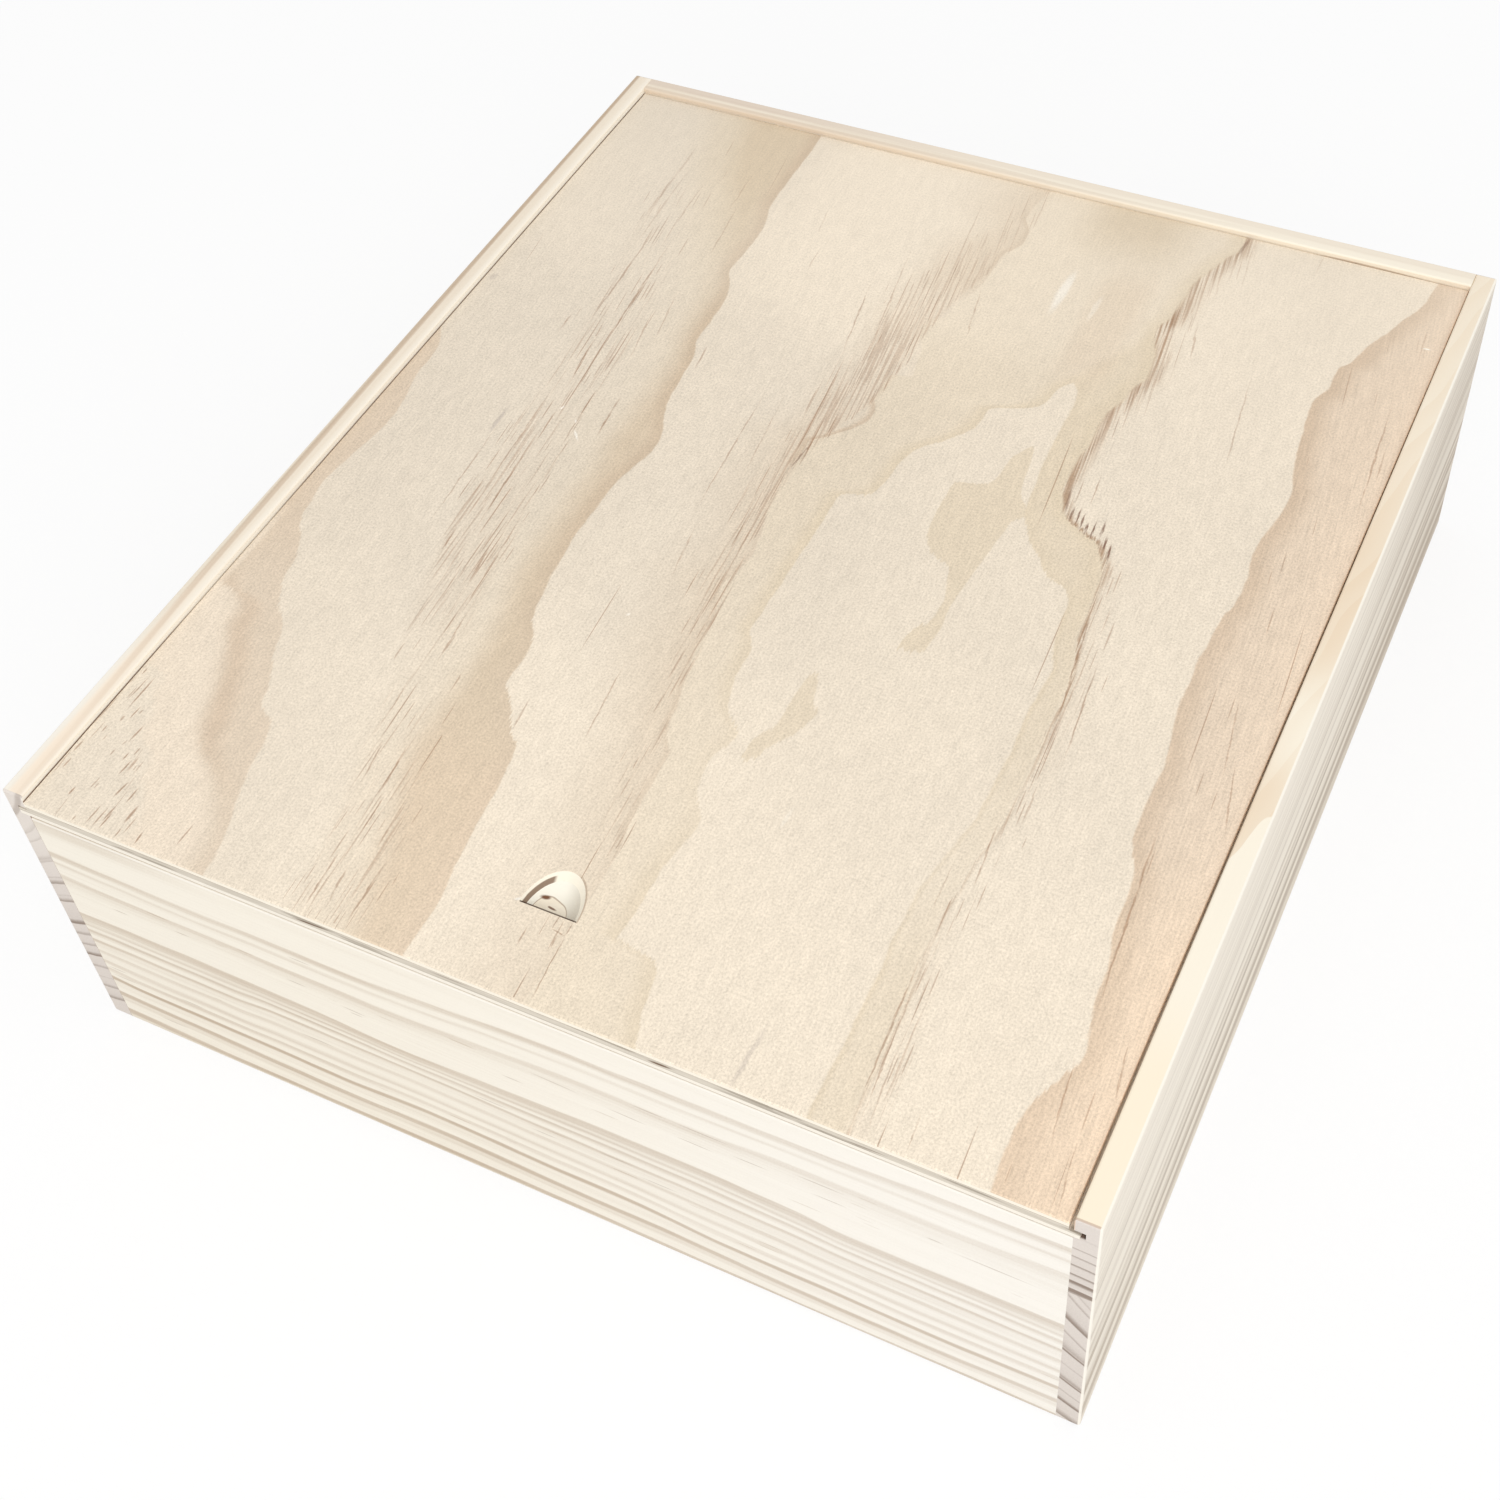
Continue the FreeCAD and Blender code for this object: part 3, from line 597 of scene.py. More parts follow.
left_soft = from_edge([
    (0, 65), (12, 63), (20, 58), (30, 50), (38, 41), (50, 36), (60, 32), (70, 28), (80, 22), (88, 20),
    (92, 15), (93, 9), (98, 5), (120, -8), (380, -25)])
left_sharp = from_edge([
    (0, 70), (8, 69), (18, 66), (30, 62), (40, 59), (47, 58), (53, 55), (56, 50), (64, 47), (78, 40),
    (84, 38), (93, 31), (100, 27), (112, 24), (121, 20), (126, 16), (135, 14.5), (143, 13.5), (160, 15),
    (168, 16.5), (178, 17), (187, 16.5), (195, 14), (214, 12.5), (222, 9), (235, 0), (260, -12),
    (380, -25)])
second_soft = from_edge([
    (0, 115), (20, 110), (40, 104), (52, 99), (62, 96), (85, 95), (105, 94), (118, 92), (130, 89),
    (150, 88), (178, 88), (200, 86), (225, 87), (240, 86), (250, 84), (280, 80), (300, 74), (320, 67),
    (340, 58), (360, 52), (380, 49)])
second_sharp = from_edge([
    (0, 135), (15, 135), (30, 132.5), (50, 130), (62, 128.5), (72, 127), (78, 122), (86, 117),
    (92, 112), (100, 111.5), (110, 110), (118, 106), (127, 104), (140, 101.5), (165, 100.5), (180, 101),
    (190, 103), (200, 104.5), (212, 101), (220, 98), (230, 97), (243, 95.5), (250, 93), (276, 92),
    (283, 89), (290, 86.5), (312, 87), (320, 85.5), (330, 83), (362, 83), (376, 81.5), (380, 81)])
third_sharp = from_edge([
    (0, 172), (50, 172), (60, 170), (75, 168.5), (88, 168), (95, 164), (103, 162), (112, 160),
    (125, 157), (140, 156), (153, 152), (160, 154), (168, 155), (180, 153), (190, 150), (220, 149),
    (224, 153), (228, 157), (235, 162), (240, 163), (250, 160), (259, 160), (262, 167), (268, 166),
    (275, 165), (283, 161), (290, 160), (293, 165), (302, 167), (308, 169), (318, 171), (330, 171),
    (342, 175.5), (348, 175), (355, 171), (365, 172), (380, 176)])
fifth_sharp = from_edge([
    (0, 264), (25, 263), (45, 262), (60, 260.5), (75, 261), (90, 262), (105, 264), (125, 263.5),
    (150, 263), (165, 261), (175, 258), (185, 257.5), (195, 256), (205, 255), (210, 252), (214, 248),
    (216, 243), (220, 237), (226, 234), (232, 232), (255, 232.5), (268, 232.5), (275, 235), (283, 236),
    (290, 239), (300, 238), (308, 235), (315, 233.5), (320, 236), (330, 237), (342, 238), (350, 240),
    (358, 243), (365, 246), (374, 246), (380, 246)])
sixth_sharp = from_edge([
    (0, 302), (12, 301), (25, 302), (30, 304), (35, 306), (44, 309), (50, 308), (62, 306), (72, 305),
    (85, 302.5), (100, 302), (107, 299), (115, 297), (135, 297), (150, 295), (165, 293.5), (180, 293),
    (190, 294), (198, 294), (205, 296), (215, 296), (228, 294), (235, 295), (245, 296.5), (255, 297),
    (265, 295), (278, 293), (290, 292), (300, 291), (308, 294), (318, 294), (322, 297), (333, 300),
    (340, 303), (350, 307), (360, 311), (368, 312), (380, 315)])
arch_left = from_edge([
    (0, 205), (8, 202), (18, 200), (24, 198), (26, 190), (27, 185), (50, 185), (58, 186), (65, 187),
    (72, 186), (78, 182), (92, 180), (101, 183), (108, 177), (118, 173), (135, 171), (140, 168),
    (165, 168.5), (200, 168.5), (203, 170), (204, 175), (208, 179), (215, 180), (225, 181), (232, 184),
    (238, 190), (245, 195), (250, 196), (257, 197), (259, 202), (262, 208), (266, 212), (275, 214),
    (279, 217), (285, 222), (380, 260)])
arch_right = from_edge([
    (0, 253), (45, 252), (60, 251), (70, 251), (85, 253), (102, 256), (125, 256), (140, 255.5),
    (160, 255), (168, 253), (180, 251), (190, 249), (195, 240), (200, 236), (205, 231), (210, 228),
    (214, 226), (240, 222), (265, 221), (275, 220), (279, 217), (285, 210), (380, 190)])
tongue_left = from_edge([
    (0, 300), (148, 240), (150, 211), (158, 212), (165, 216), (172, 216), (180, 214), (186, 212),
    (188, 208), (192, 203), (196, 201), (210, 199), (222, 200), (223, 208), (228, 211), (238, 212),
    (243, 214), (246, 216), (260, 240), (380, 300)])
tongue_right = from_edge([
    (0, 180), (148, 200), (151, 219), (160, 219.5), (172, 219), (185, 220), (195, 221), (205, 221.5),
    (213, 223), (215, 226), (225, 220), (246, 216), (260, 200), (380, 180)])
island_left = from_edge([
    (0, 230), (92, 200), (94, 188), (95, 187), (101, 187), (110, 191), (131, 192), (134, 196),
    (150, 230), (380, 260)])
island_right = from_edge([
    (0, 150), (92, 180), (95, 190), (102, 193), (112, 199), (119, 200), (121, 197), (126, 196),
    (131, 194), (134, 190), (150, 150), (380, 150)])
corner = from_edge([
    (0, 40), (5, 40), (15, 36), (20, 31), (28, 29), (33, 21), (42, 19), (48, 14), (55, 13), (57, 5),
    (62, -8), (380, -25)])

# The grain leans to the left on its way to the back.
lean = front_to_back(y, [(0, 0), (100, 6), (200, 12.5), (300, 23), (380, 33)], 0, 40)
grain = point(x + lean, y, 0.0)
run, along = axes(grain)[:2]

# The pale wood between the bands.
tone = cloud(place, (0.03, 0.02, 0.0), 3.0, 0.55) - 0.5
left_tone = front_to_back(y, [
    (0, 0.55), (90, 0.5), (150, 0.25), (250, 0.22), (310, 0.45), (350, 0.28), (380, 0.12)])
middle_tone = front_to_back(y, [
    (0, 0.9), (80, 0.85), (150, 0.4), (230, 0.3), (300, 0.9), (340, 0.95), (380, 0.8)])
right_tone = front_to_back(y, [(0, 0.85), (60, 0.75), (130, 0.55), (230, 0.55), (330, 0.7), (380, 0.6)])
shared = x.fade(70, 110).blend(left_tone, middle_tone)
shared = x.fade(160, 220).blend(shared, right_tone)
pale = (shared + tone * 0.7).fade(-0.1, 1.1).mix(tint(231, 218, 199), tint(248, 234, 213))
band = tint(217, 196, 169)
brown = tint(192, 163, 132)
yellow = tint(226, 208, 179)
pink = tint(233, 212, 188)

# First band, behind the front left corner.
inside_left = left_soft.fade(-7, 5) * left_sharp.fade(0.4, -0.4)
colour = (inside_left * (0.7 + y.fade(90, 130) * 0.2)).mix(pale, tint(225, 205, 181))
left_strip = x.fade(10.8, 8.0) * y.between(84, 118, 16)
colour = (left_strip * 0.6).mix(colour, tint(250, 236, 216))
ridge = left_soft.fade(-4, 3) * left_soft.fade(11, 3) * y.between(46, 84, 26)
colour = (ridge * 0.32).mix(colour, tint(206, 176, 146))
beside_corner = left_soft.fade(1, -4) * corner.fade(0, 5) * y.fade(110, 90)
colour = (beside_corner * 0.4).mix(colour, tint(247, 228, 205))
# Second band, soft on its left and sharp on its right.
second = second_soft.fade(-3, 10) * second_sharp.fade(0.35, -0.35)
second_strength = front_to_back(y, [
    (0, 0.6), (60, 0.75), (140, 0.85), (200, 0.8), (250, 0.85), (300, 0.5), (340, 0.75), (380, 0.85)])
colour = (second * second_strength).mix(colour, band)
colour = (second * y.fade(90, 50) * 0.35).mix(colour, tint(240, 214, 186))
colour = (second * second_sharp.fade(-7, -0.5) * y.fade(80, 190) * 0.22).mix(colour, brown)
before_second = second_soft.fade(-22, 2) * second_sharp.fade(0, -8)
colour = (before_second * (0.2 + y.fade(260, 340) * 0.3)).mix(colour, yellow)
# Third band, and the dark line along its edge.
before_third = third_sharp.fade(-34, 0) * third_sharp.fade(0.4, -0.4)
before_depth = front_to_back(y, [
    (0, 0.3), (120, 0.4), (200, 0.3), (215, 0.3), (235, 0.25), (255, 0.1), (300, 0.12), (318, 0.4),
    (380, 0.35)])
colour = (before_third * before_depth).mix(colour, band)
third_line = third_sharp.fade(-3.2, -0.4) * third_sharp.fade(0.5, -0.3)
third_dark = y.between(212, 244, 6) * 0.4 + y.between(60, 205, 12) * 0.1
third_dark = third_dark + y.between(325, 352, 8) * 0.12 + 0.06
colour = (third_line * third_dark).mix(colour, brown)
# The fourth ring is an arch that opens to the front, with yellower wood round it.
in_arch = arch_left.fade(-0.3, 0.5) * arch_right.fade(0.6, -0.6)
after_third = third_sharp.fade(-0.2, 0.4) * fifth_sharp.fade(2, -2) * (1 - in_arch)
between_arches = 0.09 + y.fade(140, 205) * 0.13 + arch_left.fade(-7, 0) * 0.35 * y.fade(60, 150)
between_arches = between_arches + arch_left.fade(-8, 0) * 0.3 * y.fade(90, 40)
right_of_arch = arch_right.fade(2.4, 0.4) * 0.22 * y.fade(205, 170)
beside_arch = arch_right.fade(10, -3) * 0.16 * y.fade(170, 200) * y.fade(305, 265) + right_of_arch
colour = (after_third * (between_arches + beside_arch)).mix(colour, yellow)
warm_patch = x.between(213, 221, 9) * y.between(292, 326, 22)
colour = (warm_patch * 0.28).mix(colour, tint(224, 200, 172))
back_patch = x.between(203, 214, 22) * y.between(366, 376, 32)
colour = (back_patch * 0.55).mix(colour, tint(216, 196, 166))
# Fifth ring, then the pale wood inside the arch and two yellow islands in it.
fifth_glow = fifth_sharp.fade(-9, 0) * fifth_sharp.fade(0.3, -0.3)
colour = (fifth_glow * (0.08 + y.fade(150, 220) * 0.42)).mix(colour, yellow)
colour = (in_arch * 0.7).mix(colour, pale)
tongue = tongue_left.fade(-0.2, 0.5) * tongue_right.fade(0.5, -0.2)
island = island_left.fade(-0.2, 0.5) * island_right.fade(0.5, -0.2)
colour = ((tongue + island * 0.9) * 0.6).mix(colour, yellow)
# Sixth band, along the right side.
in_sixth = sixth_sharp.fade(-0.4, 0.5)
sixth_depth = front_to_back(y, [
    (0, 0.95), (60, 0.85), (120, 0.85), (250, 0.9), (340, 0.85), (380, 0.75)])
colour = (in_sixth * sixth_depth).mix(colour, y.fade(130, 60).mix(pink, tint(239, 215, 188)))
sixth_line = in_sixth * sixth_sharp.fade(10, 1)
sixth_dark = front_to_back(y, [(0, 0.15), (90, 0.3), (190, 0.35), (300, 0.42), (345, 0.3), (380, 0.15)])
colour = (sixth_line * sixth_dark).mix(colour, brown)

# Dark streaks along the grain, thickest in a few fields.
first = x - front_to_back(y, [
    (0, 107), (20, 105), (45, 99), (80, 88), (120, 76), (150, 70), (200, 65), (240, 62), (290, 54),
    (340, 46), (380, 42)], 0, 120)
first_field = first.between(-7, 9, 7) * front_to_back(y, [
    (0, 0.5), (30, 0.55), (60, 0.4), (85, 0.3), (105, 0.5), (150, 0.65), (180, 0.5), (200, 0.45),
    (225, 0.42), (245, 0.45), (262, 0.38), (300, 0.35), (340, 0.2), (376, 0.08)])
third = x - front_to_back(y, [
    (0, 172), (60, 170), (100, 162), (150, 155), (200, 150), (225, 153), (250, 161), (290, 163),
    (320, 169), (345, 174), (380, 175)], 0, 200)
third_reach = third / front_to_back(y, [
    (0, 13), (200, 14), (228, 20), (262, 30), (325, 30), (350, 16), (380, 14)], 0, 40)
third_field = third_reach.fade(-1.0, -0.35) * third.fade(1.5, -0.5) * front_to_back(y, [
    (0, 0), (30, 0.1), (55, 0.4), (110, 0.6), (160, 0.65), (215, 0.75), (250, 0.85), (300, 0.85),
    (325, 0.7), (376, 0.5)])
fifth_field = fifth_sharp.fade(-1, 0.5) * fifth_sharp.fade(13, 2) * front_to_back(y, [
    (0, 0.6), (60, 0.5), (90, 0.3), (140, 0.6), (200, 0.55), (212, 0.2), (228, 0.2), (250, 0.5),
    (300, 0.7), (340, 0.75), (376, 0.4)])
corner_field = corner.fade(0.8, -0.2) * (corner.fade(-8, -1) * 0.2 + 0.08)
density = first_field + third_field + fifth_field + corner_field + in_sixth * 0.1
hair = cloud(grain, (1.1, 0.024, 0.0), 3.0, 0.6)
drawn = (hair + density * 0.24).fade(0.67, 0.78) * density.fade(0.0, 0.4)
fifth_dark = front_to_back(y, [
    (0, 0.25), (60, 0.35), (100, 0.35), (150, 0.6), (190, 0.9), (215, 0.9), (260, 0.7), (285, 0.6),
    (310, 0.9), (345, 0.65), (380, 0.75)])
fifth_width = fifth_sharp / front_to_back(y, [
    (0, 0.8), (150, 0.8), (190, 1.3), (215, 2.7), (280, 3.6), (345, 4.2), (380, 2.5)], 0, 5)
fifth_line = fifth_width.fade(-0.35, 0.1) * fifth_width.fade(1.5, 0.3)
colour = (fifth_line * fifth_dark * hair.fade(0.36, 0.58)).mix(colour, tint(178, 146, 117))
short = dashes(run, along, 1.3, 30.0, density * 0.7, 0.17)
middling = dashes(run + 7, along, 1.5, 80.0, density * 0.8, 0.12)
long = dashes(run + 11, along, 2.6, 260.0, density * 0.7 + 0.02, 0.07)
streaks = drawn * 0.5 + short * 0.6 + middling * 0.85 + long * 0.85
# Single cracks and streaks.
crooked = x + cloud(place, (0.6, 0.12, 0.0), 3.0, 0.7) * 1.6 - 0.8
nearly_straight = x * 0.7 + crooked * 0.3
corner_cracks = marks(nearly_straight, y, [
    (13.6, 55, 13.4, 39, 0.36, 0.95), (11.9, 54, 11.2, 42, 0.3, 0.75), (9.3, 56, 9.1, 52.4, 0.34, 0.8),
    (7.9, 52, 7.8, 48, 0.3, 0.5), (10.9, 49, 10.6, 43, 0.3, 0.6), (7.9, 46, 7.7, 29, 0.3, 0.7),
    (16.7, 43, 16.2, 36.4, 0.34, 0.85), (18, 42, 17.9, 39.6, 0.34, 0.7), (14.3, 38, 14.3, 35, 0.5, 0.7),
    (21.9, 37.4, 21.7, 30.4, 0.4, 0.95), (20.9, 30.6, 20.4, 28, 0.3, 0.5),
    (10.4, 34.5, 10.1, 25, 0.3, 0.5), (11.9, 33, 11.8, 29.6, 0.34, 0.8),
    (14.2, 29.8, 14.1, 27.2, 0.3, 0.5), (8.9, 26, 8.7, 20, 0.36, 0.8),
    (19.7, 26.6, 19.5, 23.3, 0.34, 0.7), (24.2, 27.2, 24.1, 23.3, 0.38, 0.9),
    (26.2, 30.2, 26, 26, 0.36, 0.8), (26.7, 25.4, 26.3, 18.3, 0.38, 0.95),
    (27.8, 27.4, 28, 20.3, 0.5, 0.7), (29.3, 24, 29.3, 21.5, 0.3, 0.6),
    (30.1, 26.7, 30.1, 20.3, 0.3, 0.5), (9.9, 19, 9.6, 14, 0.36, 0.8),
    (30.8, 18.7, 29.9, 11, 0.4, 0.95), (34.8, 18, 34.6, 10.8, 0.38, 0.9),
    (22.1, 16.8, 21.8, 10.8, 0.32, 0.65), (23, 15, 22.9, 11.5, 0.3, 0.6),
    (17.7, 10.8, 17.5, 6.8, 0.4, 1.0), (32.7, 10, 32.4, 2.8, 0.36, 0.9), (33.4, 8, 33, 0.3, 0.36, 0.95),
    (31.1, 9, 30.9, 0, 0.34, 0.8), (28.7, 9, 28.5, 0.2, 0.34, 0.8), (38.7, 13, 38.6, 4.6, 0.65, 0.95),
    (40.8, 9.8, 40.6, 1.5, 0.34, 0.7), (39.1, 4, 39.1, 0, 0.36, 0.9), (45.5, 5.5, 45.8, 0, 0.38, 1.0),
    (57.1, 14, 57, 4, 0.34, 0.75), (24.3, 2.4, 24.3, 0, 0.32, 0.7)])
cracks = marks(crooked, y, [
    (44, 298, 41.7, 356, 0.7, 0.6), (48.6, 286, 45.4, 340, 0.6, 0.5), (54.2, 240, 50.5, 306, 0.5, 0.8),
    (65.4, 226, 59, 300, 0.5, 0.8), (56.5, 300, 54.6, 334, 0.35, 0.6), (76, 290, 72, 326, 0.35, 0.6),
    (70.5, 316, 68.8, 345, 0.35, 0.5), (79.5, 244, 74.6, 272, 0.35, 0.6),
    (76.6, 230, 71, 262, 0.35, 0.6), (46.8, 236, 46, 248, 0.4, 0.7), (63.4, 214, 59.6, 240, 0.4, 0.7),
    (76, 186, 73, 218, 0.4, 0.7), (84.4, 194, 82, 218, 0.45, 0.9), (63.4, 155, 59, 215, 0.4, 0.7),
    (70, 142, 65.6, 190, 0.4, 0.8), (55, 136, 51, 196, 0.35, 0.6), (64.9, 131, 64, 143, 0.5, 0.9),
    (80, 122, 77.6, 142, 0.5, 0.8), (84.6, 112, 79.5, 162, 0.35, 0.7), (88.4, 90, 86, 113, 0.35, 0.7),
    (86.4, 58, 84, 90, 0.35, 0.6), (92.6, 44, 89.6, 62, 0.4, 0.7), (99.6, 40, 97.4, 62, 0.4, 0.7),
    (102.4, 28, 101, 44, 0.4, 0.8), (109.5, 24, 107.4, 46, 0.4, 0.7), (102, 1, 100, 23, 0.45, 0.9),
    (107.4, 3, 105, 20, 0.35, 0.7), (115.4, 0, 114, 26, 0.4, 0.8), (122.4, 76, 120.6, 92, 0.35, 0.6),
    (141.4, 261, 134, 304, 0.35, 0.8), (148.6, 268, 139.6, 326, 0.35, 0.7),
    (157.4, 324, 153, 358, 0.35, 0.6), (106.2, 318, 103, 334, 0.35, 0.6),
    (111.4, 298, 110, 313, 0.3, 0.6), (99, 236, 97, 251, 0.4, 0.7), (130, 172, 125.4, 241, 0.35, 0.7),
    (137, 195, 131.6, 242, 0.3, 0.5), (136.4, 148, 132.6, 175, 0.3, 0.5),
    (143.4, 80, 139.6, 115, 0.35, 0.7), (176.4, 284, 170.6, 315, 0.35, 0.7),
    (264.6, 138, 257, 192, 0.45, 0.9), (271, 126, 266.4, 171, 0.4, 0.8),
    (268.4, 102, 267, 120, 0.3, 0.5), (264.4, 78, 261.8, 104, 0.45, 0.8),
    (263.6, 0, 259.6, 60, 0.4, 0.8), (266, 0, 261.6, 50, 0.35, 0.7), (268.4, 0, 265, 32, 0.3, 0.5),
    (279.2, 0, 278.4, 13, 0.35, 0.6), (257, 68, 256, 86, 0.35, 0.5), (275, 256, 269, 306, 0.35, 0.6),
    (248.8, 302, 243.8, 326, 0.45, 0.9), (252.6, 342, 248.4, 374, 0.35, 0.6),
    (242, 226, 240.4, 243, 0.35, 0.7), (273, 360, 273, 376, 0.3, 0.4),
    (316.8, 328, 315, 352, 0.35, 0.6), (318.4, 250, 314, 314, 0.4, 0.8),
    (319.4, 270, 318, 288, 0.4, 0.7), (320, 120, 314, 150, 0.35, 0.7),
    (313.4, 138, 307.6, 174, 0.35, 0.6), (308, 50, 301.8, 126, 0.45, 0.85),
    (310.4, 16, 307, 44, 0.35, 0.8), (321, 32, 317.4, 54, 0.35, 0.7), (318.4, 0, 315.4, 23, 0.35, 0.7),
    (173.2, 0, 171.3, 24, 0.3, 0.9), (169.9, 17, 169.3, 22.4, 0.3, 0.8),
    (161, 14, 160.8, 21.5, 0.35, 0.7), (166.7, 27.4, 167.3, 22.4, 0.28, 0.8),
    (166.8, 23, 171.7, 22.2, 0.3, 0.95), (171.3, 21.6, 171.4, 27.6, 0.28, 0.8)])
knots = marks(crooked, y, [
    (238.4, 218, 237.8, 226, 0.5, 0.7), (240.6, 217.6, 240, 226, 0.55, 0.9),
    (242.6, 215.6, 242, 225, 0.45, 0.8), (244.8, 213.4, 244, 221, 0.6, 0.9),
    (247, 212.6, 246.3, 223, 0.45, 0.9), (249.6, 213.6, 248.8, 224, 0.5, 0.8),
    (252.4, 209.6, 251.4, 218, 0.55, 0.9), (255, 207, 253.6, 215, 0.6, 0.9),
    (236, 220, 234, 234, 0.6, 0.5), (246.6, 375, 245.8, 360, 0.8, 0.5),
    (150.4, 222, 148.6, 205, 0.5, 0.6)])
broken = cloud(grain, (0.9, 0.14, 0.0), 2.0, 0.6).fade(0.36, 0.52) * 0.55 + 0.45
soft_back = 1 - y.fade(250, 345, 0.45)
streaks = (streaks * soft_back + cracks * broken * soft_back + corner_cracks).math("MINIMUM", 1.0)
haze = density.fade(0.1, 0.9)
colour = (haze * 0.18).mix(colour, tint(220, 198, 172))
colour = (streaks * 0.72).mix(colour, tint(162, 122, 92))
colour = (knots * broken).mix(colour, tint(128, 90, 70))
# Bare and stained spots.
bare = marks(crooked, y, [
    (197, 306, 197.4, 336, 2.4, 0.8), (210, 308, 210.6, 326, 1.4, 0.35),
    (315.8, 338, 319.4, 338.2, 0.5, 1.0), (66.6, 202.6, 67.6, 205.4, 0.4, 0.8),
    (73.6, 201, 75, 198.6, 0.4, 0.8), (75.6, 196.6, 80, 191.6, 0.6, 0.9),
    (131, 130, 131.6, 132, 0.4, 0.7), (152.2, 27.0, 156.2, 28.7, 0.7, 1.0),
    (208, 76, 208.6, 86, 1.0, 0.3)])
colour = bare.mix(colour, tint(254, 246, 232))
stain = marks(crooked, y, [
    (231.6, -4, 232.8, 22, 1.0, 0.3), (10, 252, 10.4, 257, 1.8, 0.3), (50.6, 182, 50.2, 199, 1.0, 0.4)])
colour = stain.mix(colour, tint(176, 164, 158))

# The fine texture of the sanded wood.
grains = cloud(place, (1.5, 1.2, 0.0), 3.0, 0.8)
fibres = cloud(grain, (1.5, 0.06, 0.0), 3.0, 0.65)
mottle = cloud(place, (0.35, 0.15, 0.0), 3.0, 0.6)
lift = (grains - 0.5) * 0.96 + (fibres - 0.5) * (0.22 + density * 0.25) + (mottle - 0.5) * 0.22
# Near the right edge, beside the rail, the wood is lifted a little, painted light against the rail's
# shade.
lift = lift + (fibres - 0.5) * in_sixth * 0.25 + x.fade(308, 321) * 0.06
lift = lift * y.fade(380, 220, 0.4) + lift * 0.6
colour = lift.node("HueSaturation", {}, {"Value": lift + 1.0, "Color": colour})

# The cut edges and the thumb notch.
cut = z.fade(112.6, 112.45)
colour = cut.mix(colour, tint(252, 243, 226))
across_notch = (x - NOTCH_X) / NOTCH_HALF_WIDTH
along_notch = (y - NOTCH_Y) / NOTCH_LENGTH
reach = distance(across_notch, along_notch)
notch_edge = reach.between(1.0, 1.03, 0.025) * x.fade(164, 168) * y.fade(26.9, 27.3)
notch_edge = notch_edge * z.fade(112.9, 113.0)
colour = (notch_edge * 0.6).mix(colour, tint(170, 146, 122))
scoop = around_notch(x, y, 27.3, 0.3) * z.fade(LID_TOP - 0.01, LID_TOP - 0.1)
colour = scoop.mix(colour, tint(254, 246, 228))
colour = (scoop * x.fade(159.8, 158.8) * z.fade(112.4, 112.15) * 0.95).mix(colour, tint(140, 116, 96))
under = scoop * below_front_edge(y, z) * z.fade(113.0, 112.7)
colour = (under * 0.9).mix(colour, DEEP_SHADE)
roughness = 0.6 + (grains - 0.5) * 0.1
finish("lid_face_veneer", lid_face, colour, roughness, grains * 0.6 + fibres * 0.6, PINE_RELIEF)

# ---- Floor -------------------------------------------------------------------
# A sheet of matt white paper that the box stands on. It takes the box's soft shadow, and the camera
# sees it lightened, so that it runs into the white room behind it.

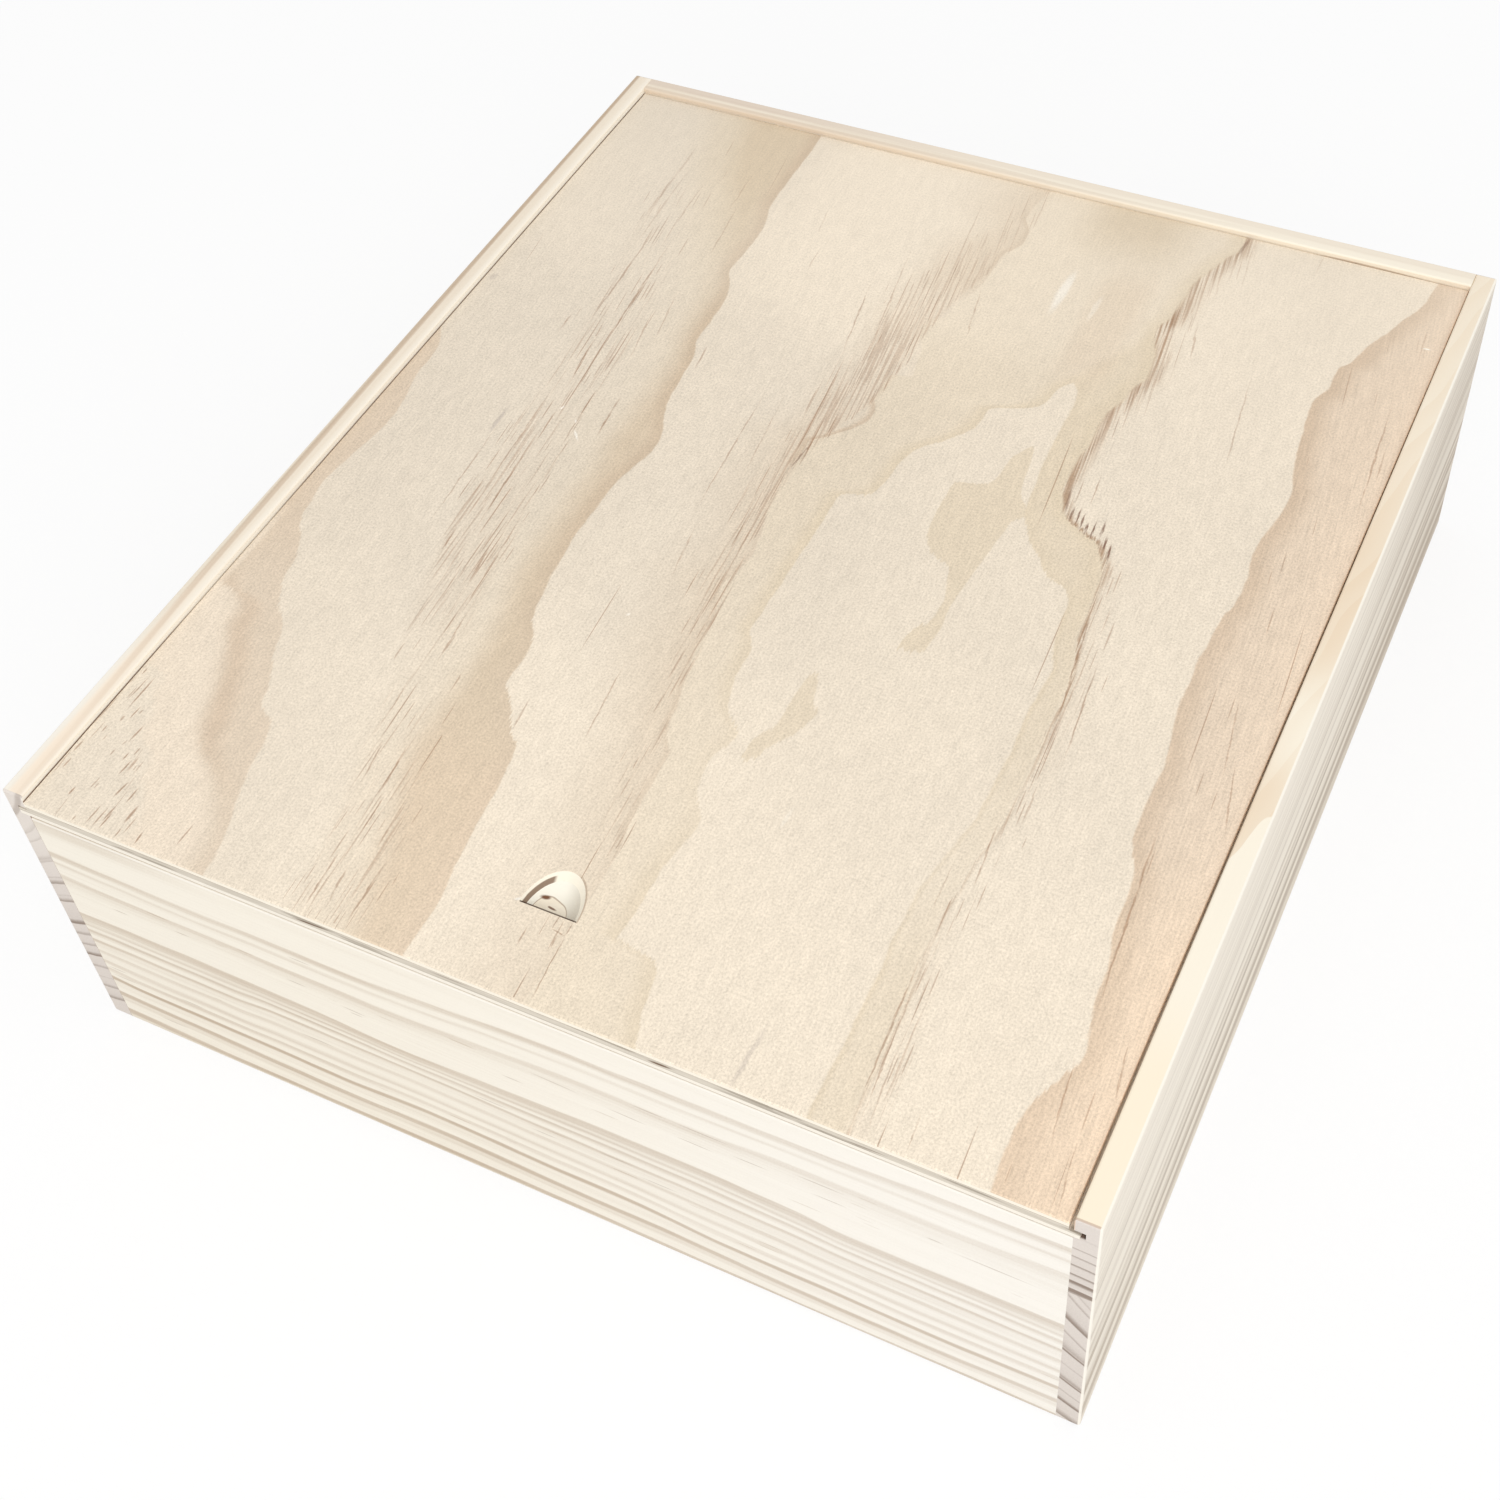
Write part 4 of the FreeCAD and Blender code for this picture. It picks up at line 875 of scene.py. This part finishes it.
floor_mesh = bpy.data.meshes.new("floor")
sheet = bmesh.new()
level_with_foot = Matrix.Translation((0.0, 0.0, 0.00002))
bmesh.ops.create_circle(sheet, cap_ends=True, segments=64, radius=6.0, matrix=level_with_foot)
sheet.to_mesh(floor_mesh)
sheet.free()
floor = bpy.data.objects.new("floor", floor_mesh)
bpy.context.scene.collection.objects.link(floor)
floor_paper = bpy.data.materials.new("floor_paper")
floor_paper.use_nodes = True
paper = floor_paper.node_tree
seen = Socket(paper, paper.nodes.new("ShaderNodeLightPath").outputs["Is Camera Ray"])
matt = seen.node("BsdfDiffuse", {}, {"Color": (0.8, 0.8, 0.8, 1.0)})
seen_matt = seen.node("BsdfDiffuse", {}, {"Color": (1.0, 1.0, 1.0, 1.0)})
glow = seen.node("Emission", {}, {"Color": (1.0, 1.0, 1.0, 1.0), "Strength": 1.0})
lightened = seen.node("MixShader", {}, {0: 0.75, 1: seen_matt, 2: glow})
sheet_shader = seen.node("MixShader", {}, {0: seen, 1: matt, 2: lightened})
paper.links.new(sheet_shader.output, paper.nodes["Material Output"].inputs["Surface"])
floor_mesh.materials.append(floor_paper)

# ---- Studio ------------------------------------------------------------------
# A white room that lights the box evenly, and a large soft lamp in front of it on the right. The
# camera looks down on the box from its front right corner.

world = bpy.data.worlds.new("studio")
bpy.context.scene.world = world
world.use_nodes = True
room = world.node_tree
path = Socket(room, room.nodes.new("ShaderNodeLightPath").outputs["Is Camera Ray"])
direct = (path + path.beside("Is Glossy Ray") + path.beside("Is Transmission Ray")).fade(0.0, 1.0)
backdrop = room.nodes["Background"]
backdrop.inputs["Color"].default_value = (1.0, 1.0, 1.0, 1.0)
room.links.new((direct * 0.25 + 0.75).output, backdrop.inputs["Strength"])

lamp_data = bpy.data.lights.new("soft_lamp", "AREA")
lamp_data.shape = "DISK"
lamp_data.size = 2.0
lamp_data.energy = 22.0
lamp = bpy.data.objects.new("soft_lamp", lamp_data)
lamp.location = (0.9, -1.6, 1.55)
lamp.rotation_euler = (Vector((0.0, 0.0, 0.1)) - lamp.location).to_track_quat("-Z", "Y").to_euler()
bpy.context.scene.collection.objects.link(lamp)

# Lens, shift and place, solved together from seven corners of the box.
camera_data = bpy.data.cameras.new("camera")
camera_data.lens = 52.23
camera_data.sensor_width = 36.0
camera_data.shift_x = -0.026387
camera_data.shift_y = -0.066979
camera = bpy.data.objects.new("camera", camera_data)
camera.location = (0.223646, -0.425741, 0.589714)
camera.rotation_euler = (math.radians(41.72604), math.radians(2.92466), math.radians(25.69409))
bpy.context.scene.collection.objects.link(camera)
bpy.context.scene.camera = camera
bpy.context.scene.view_settings.view_transform = "Standard"
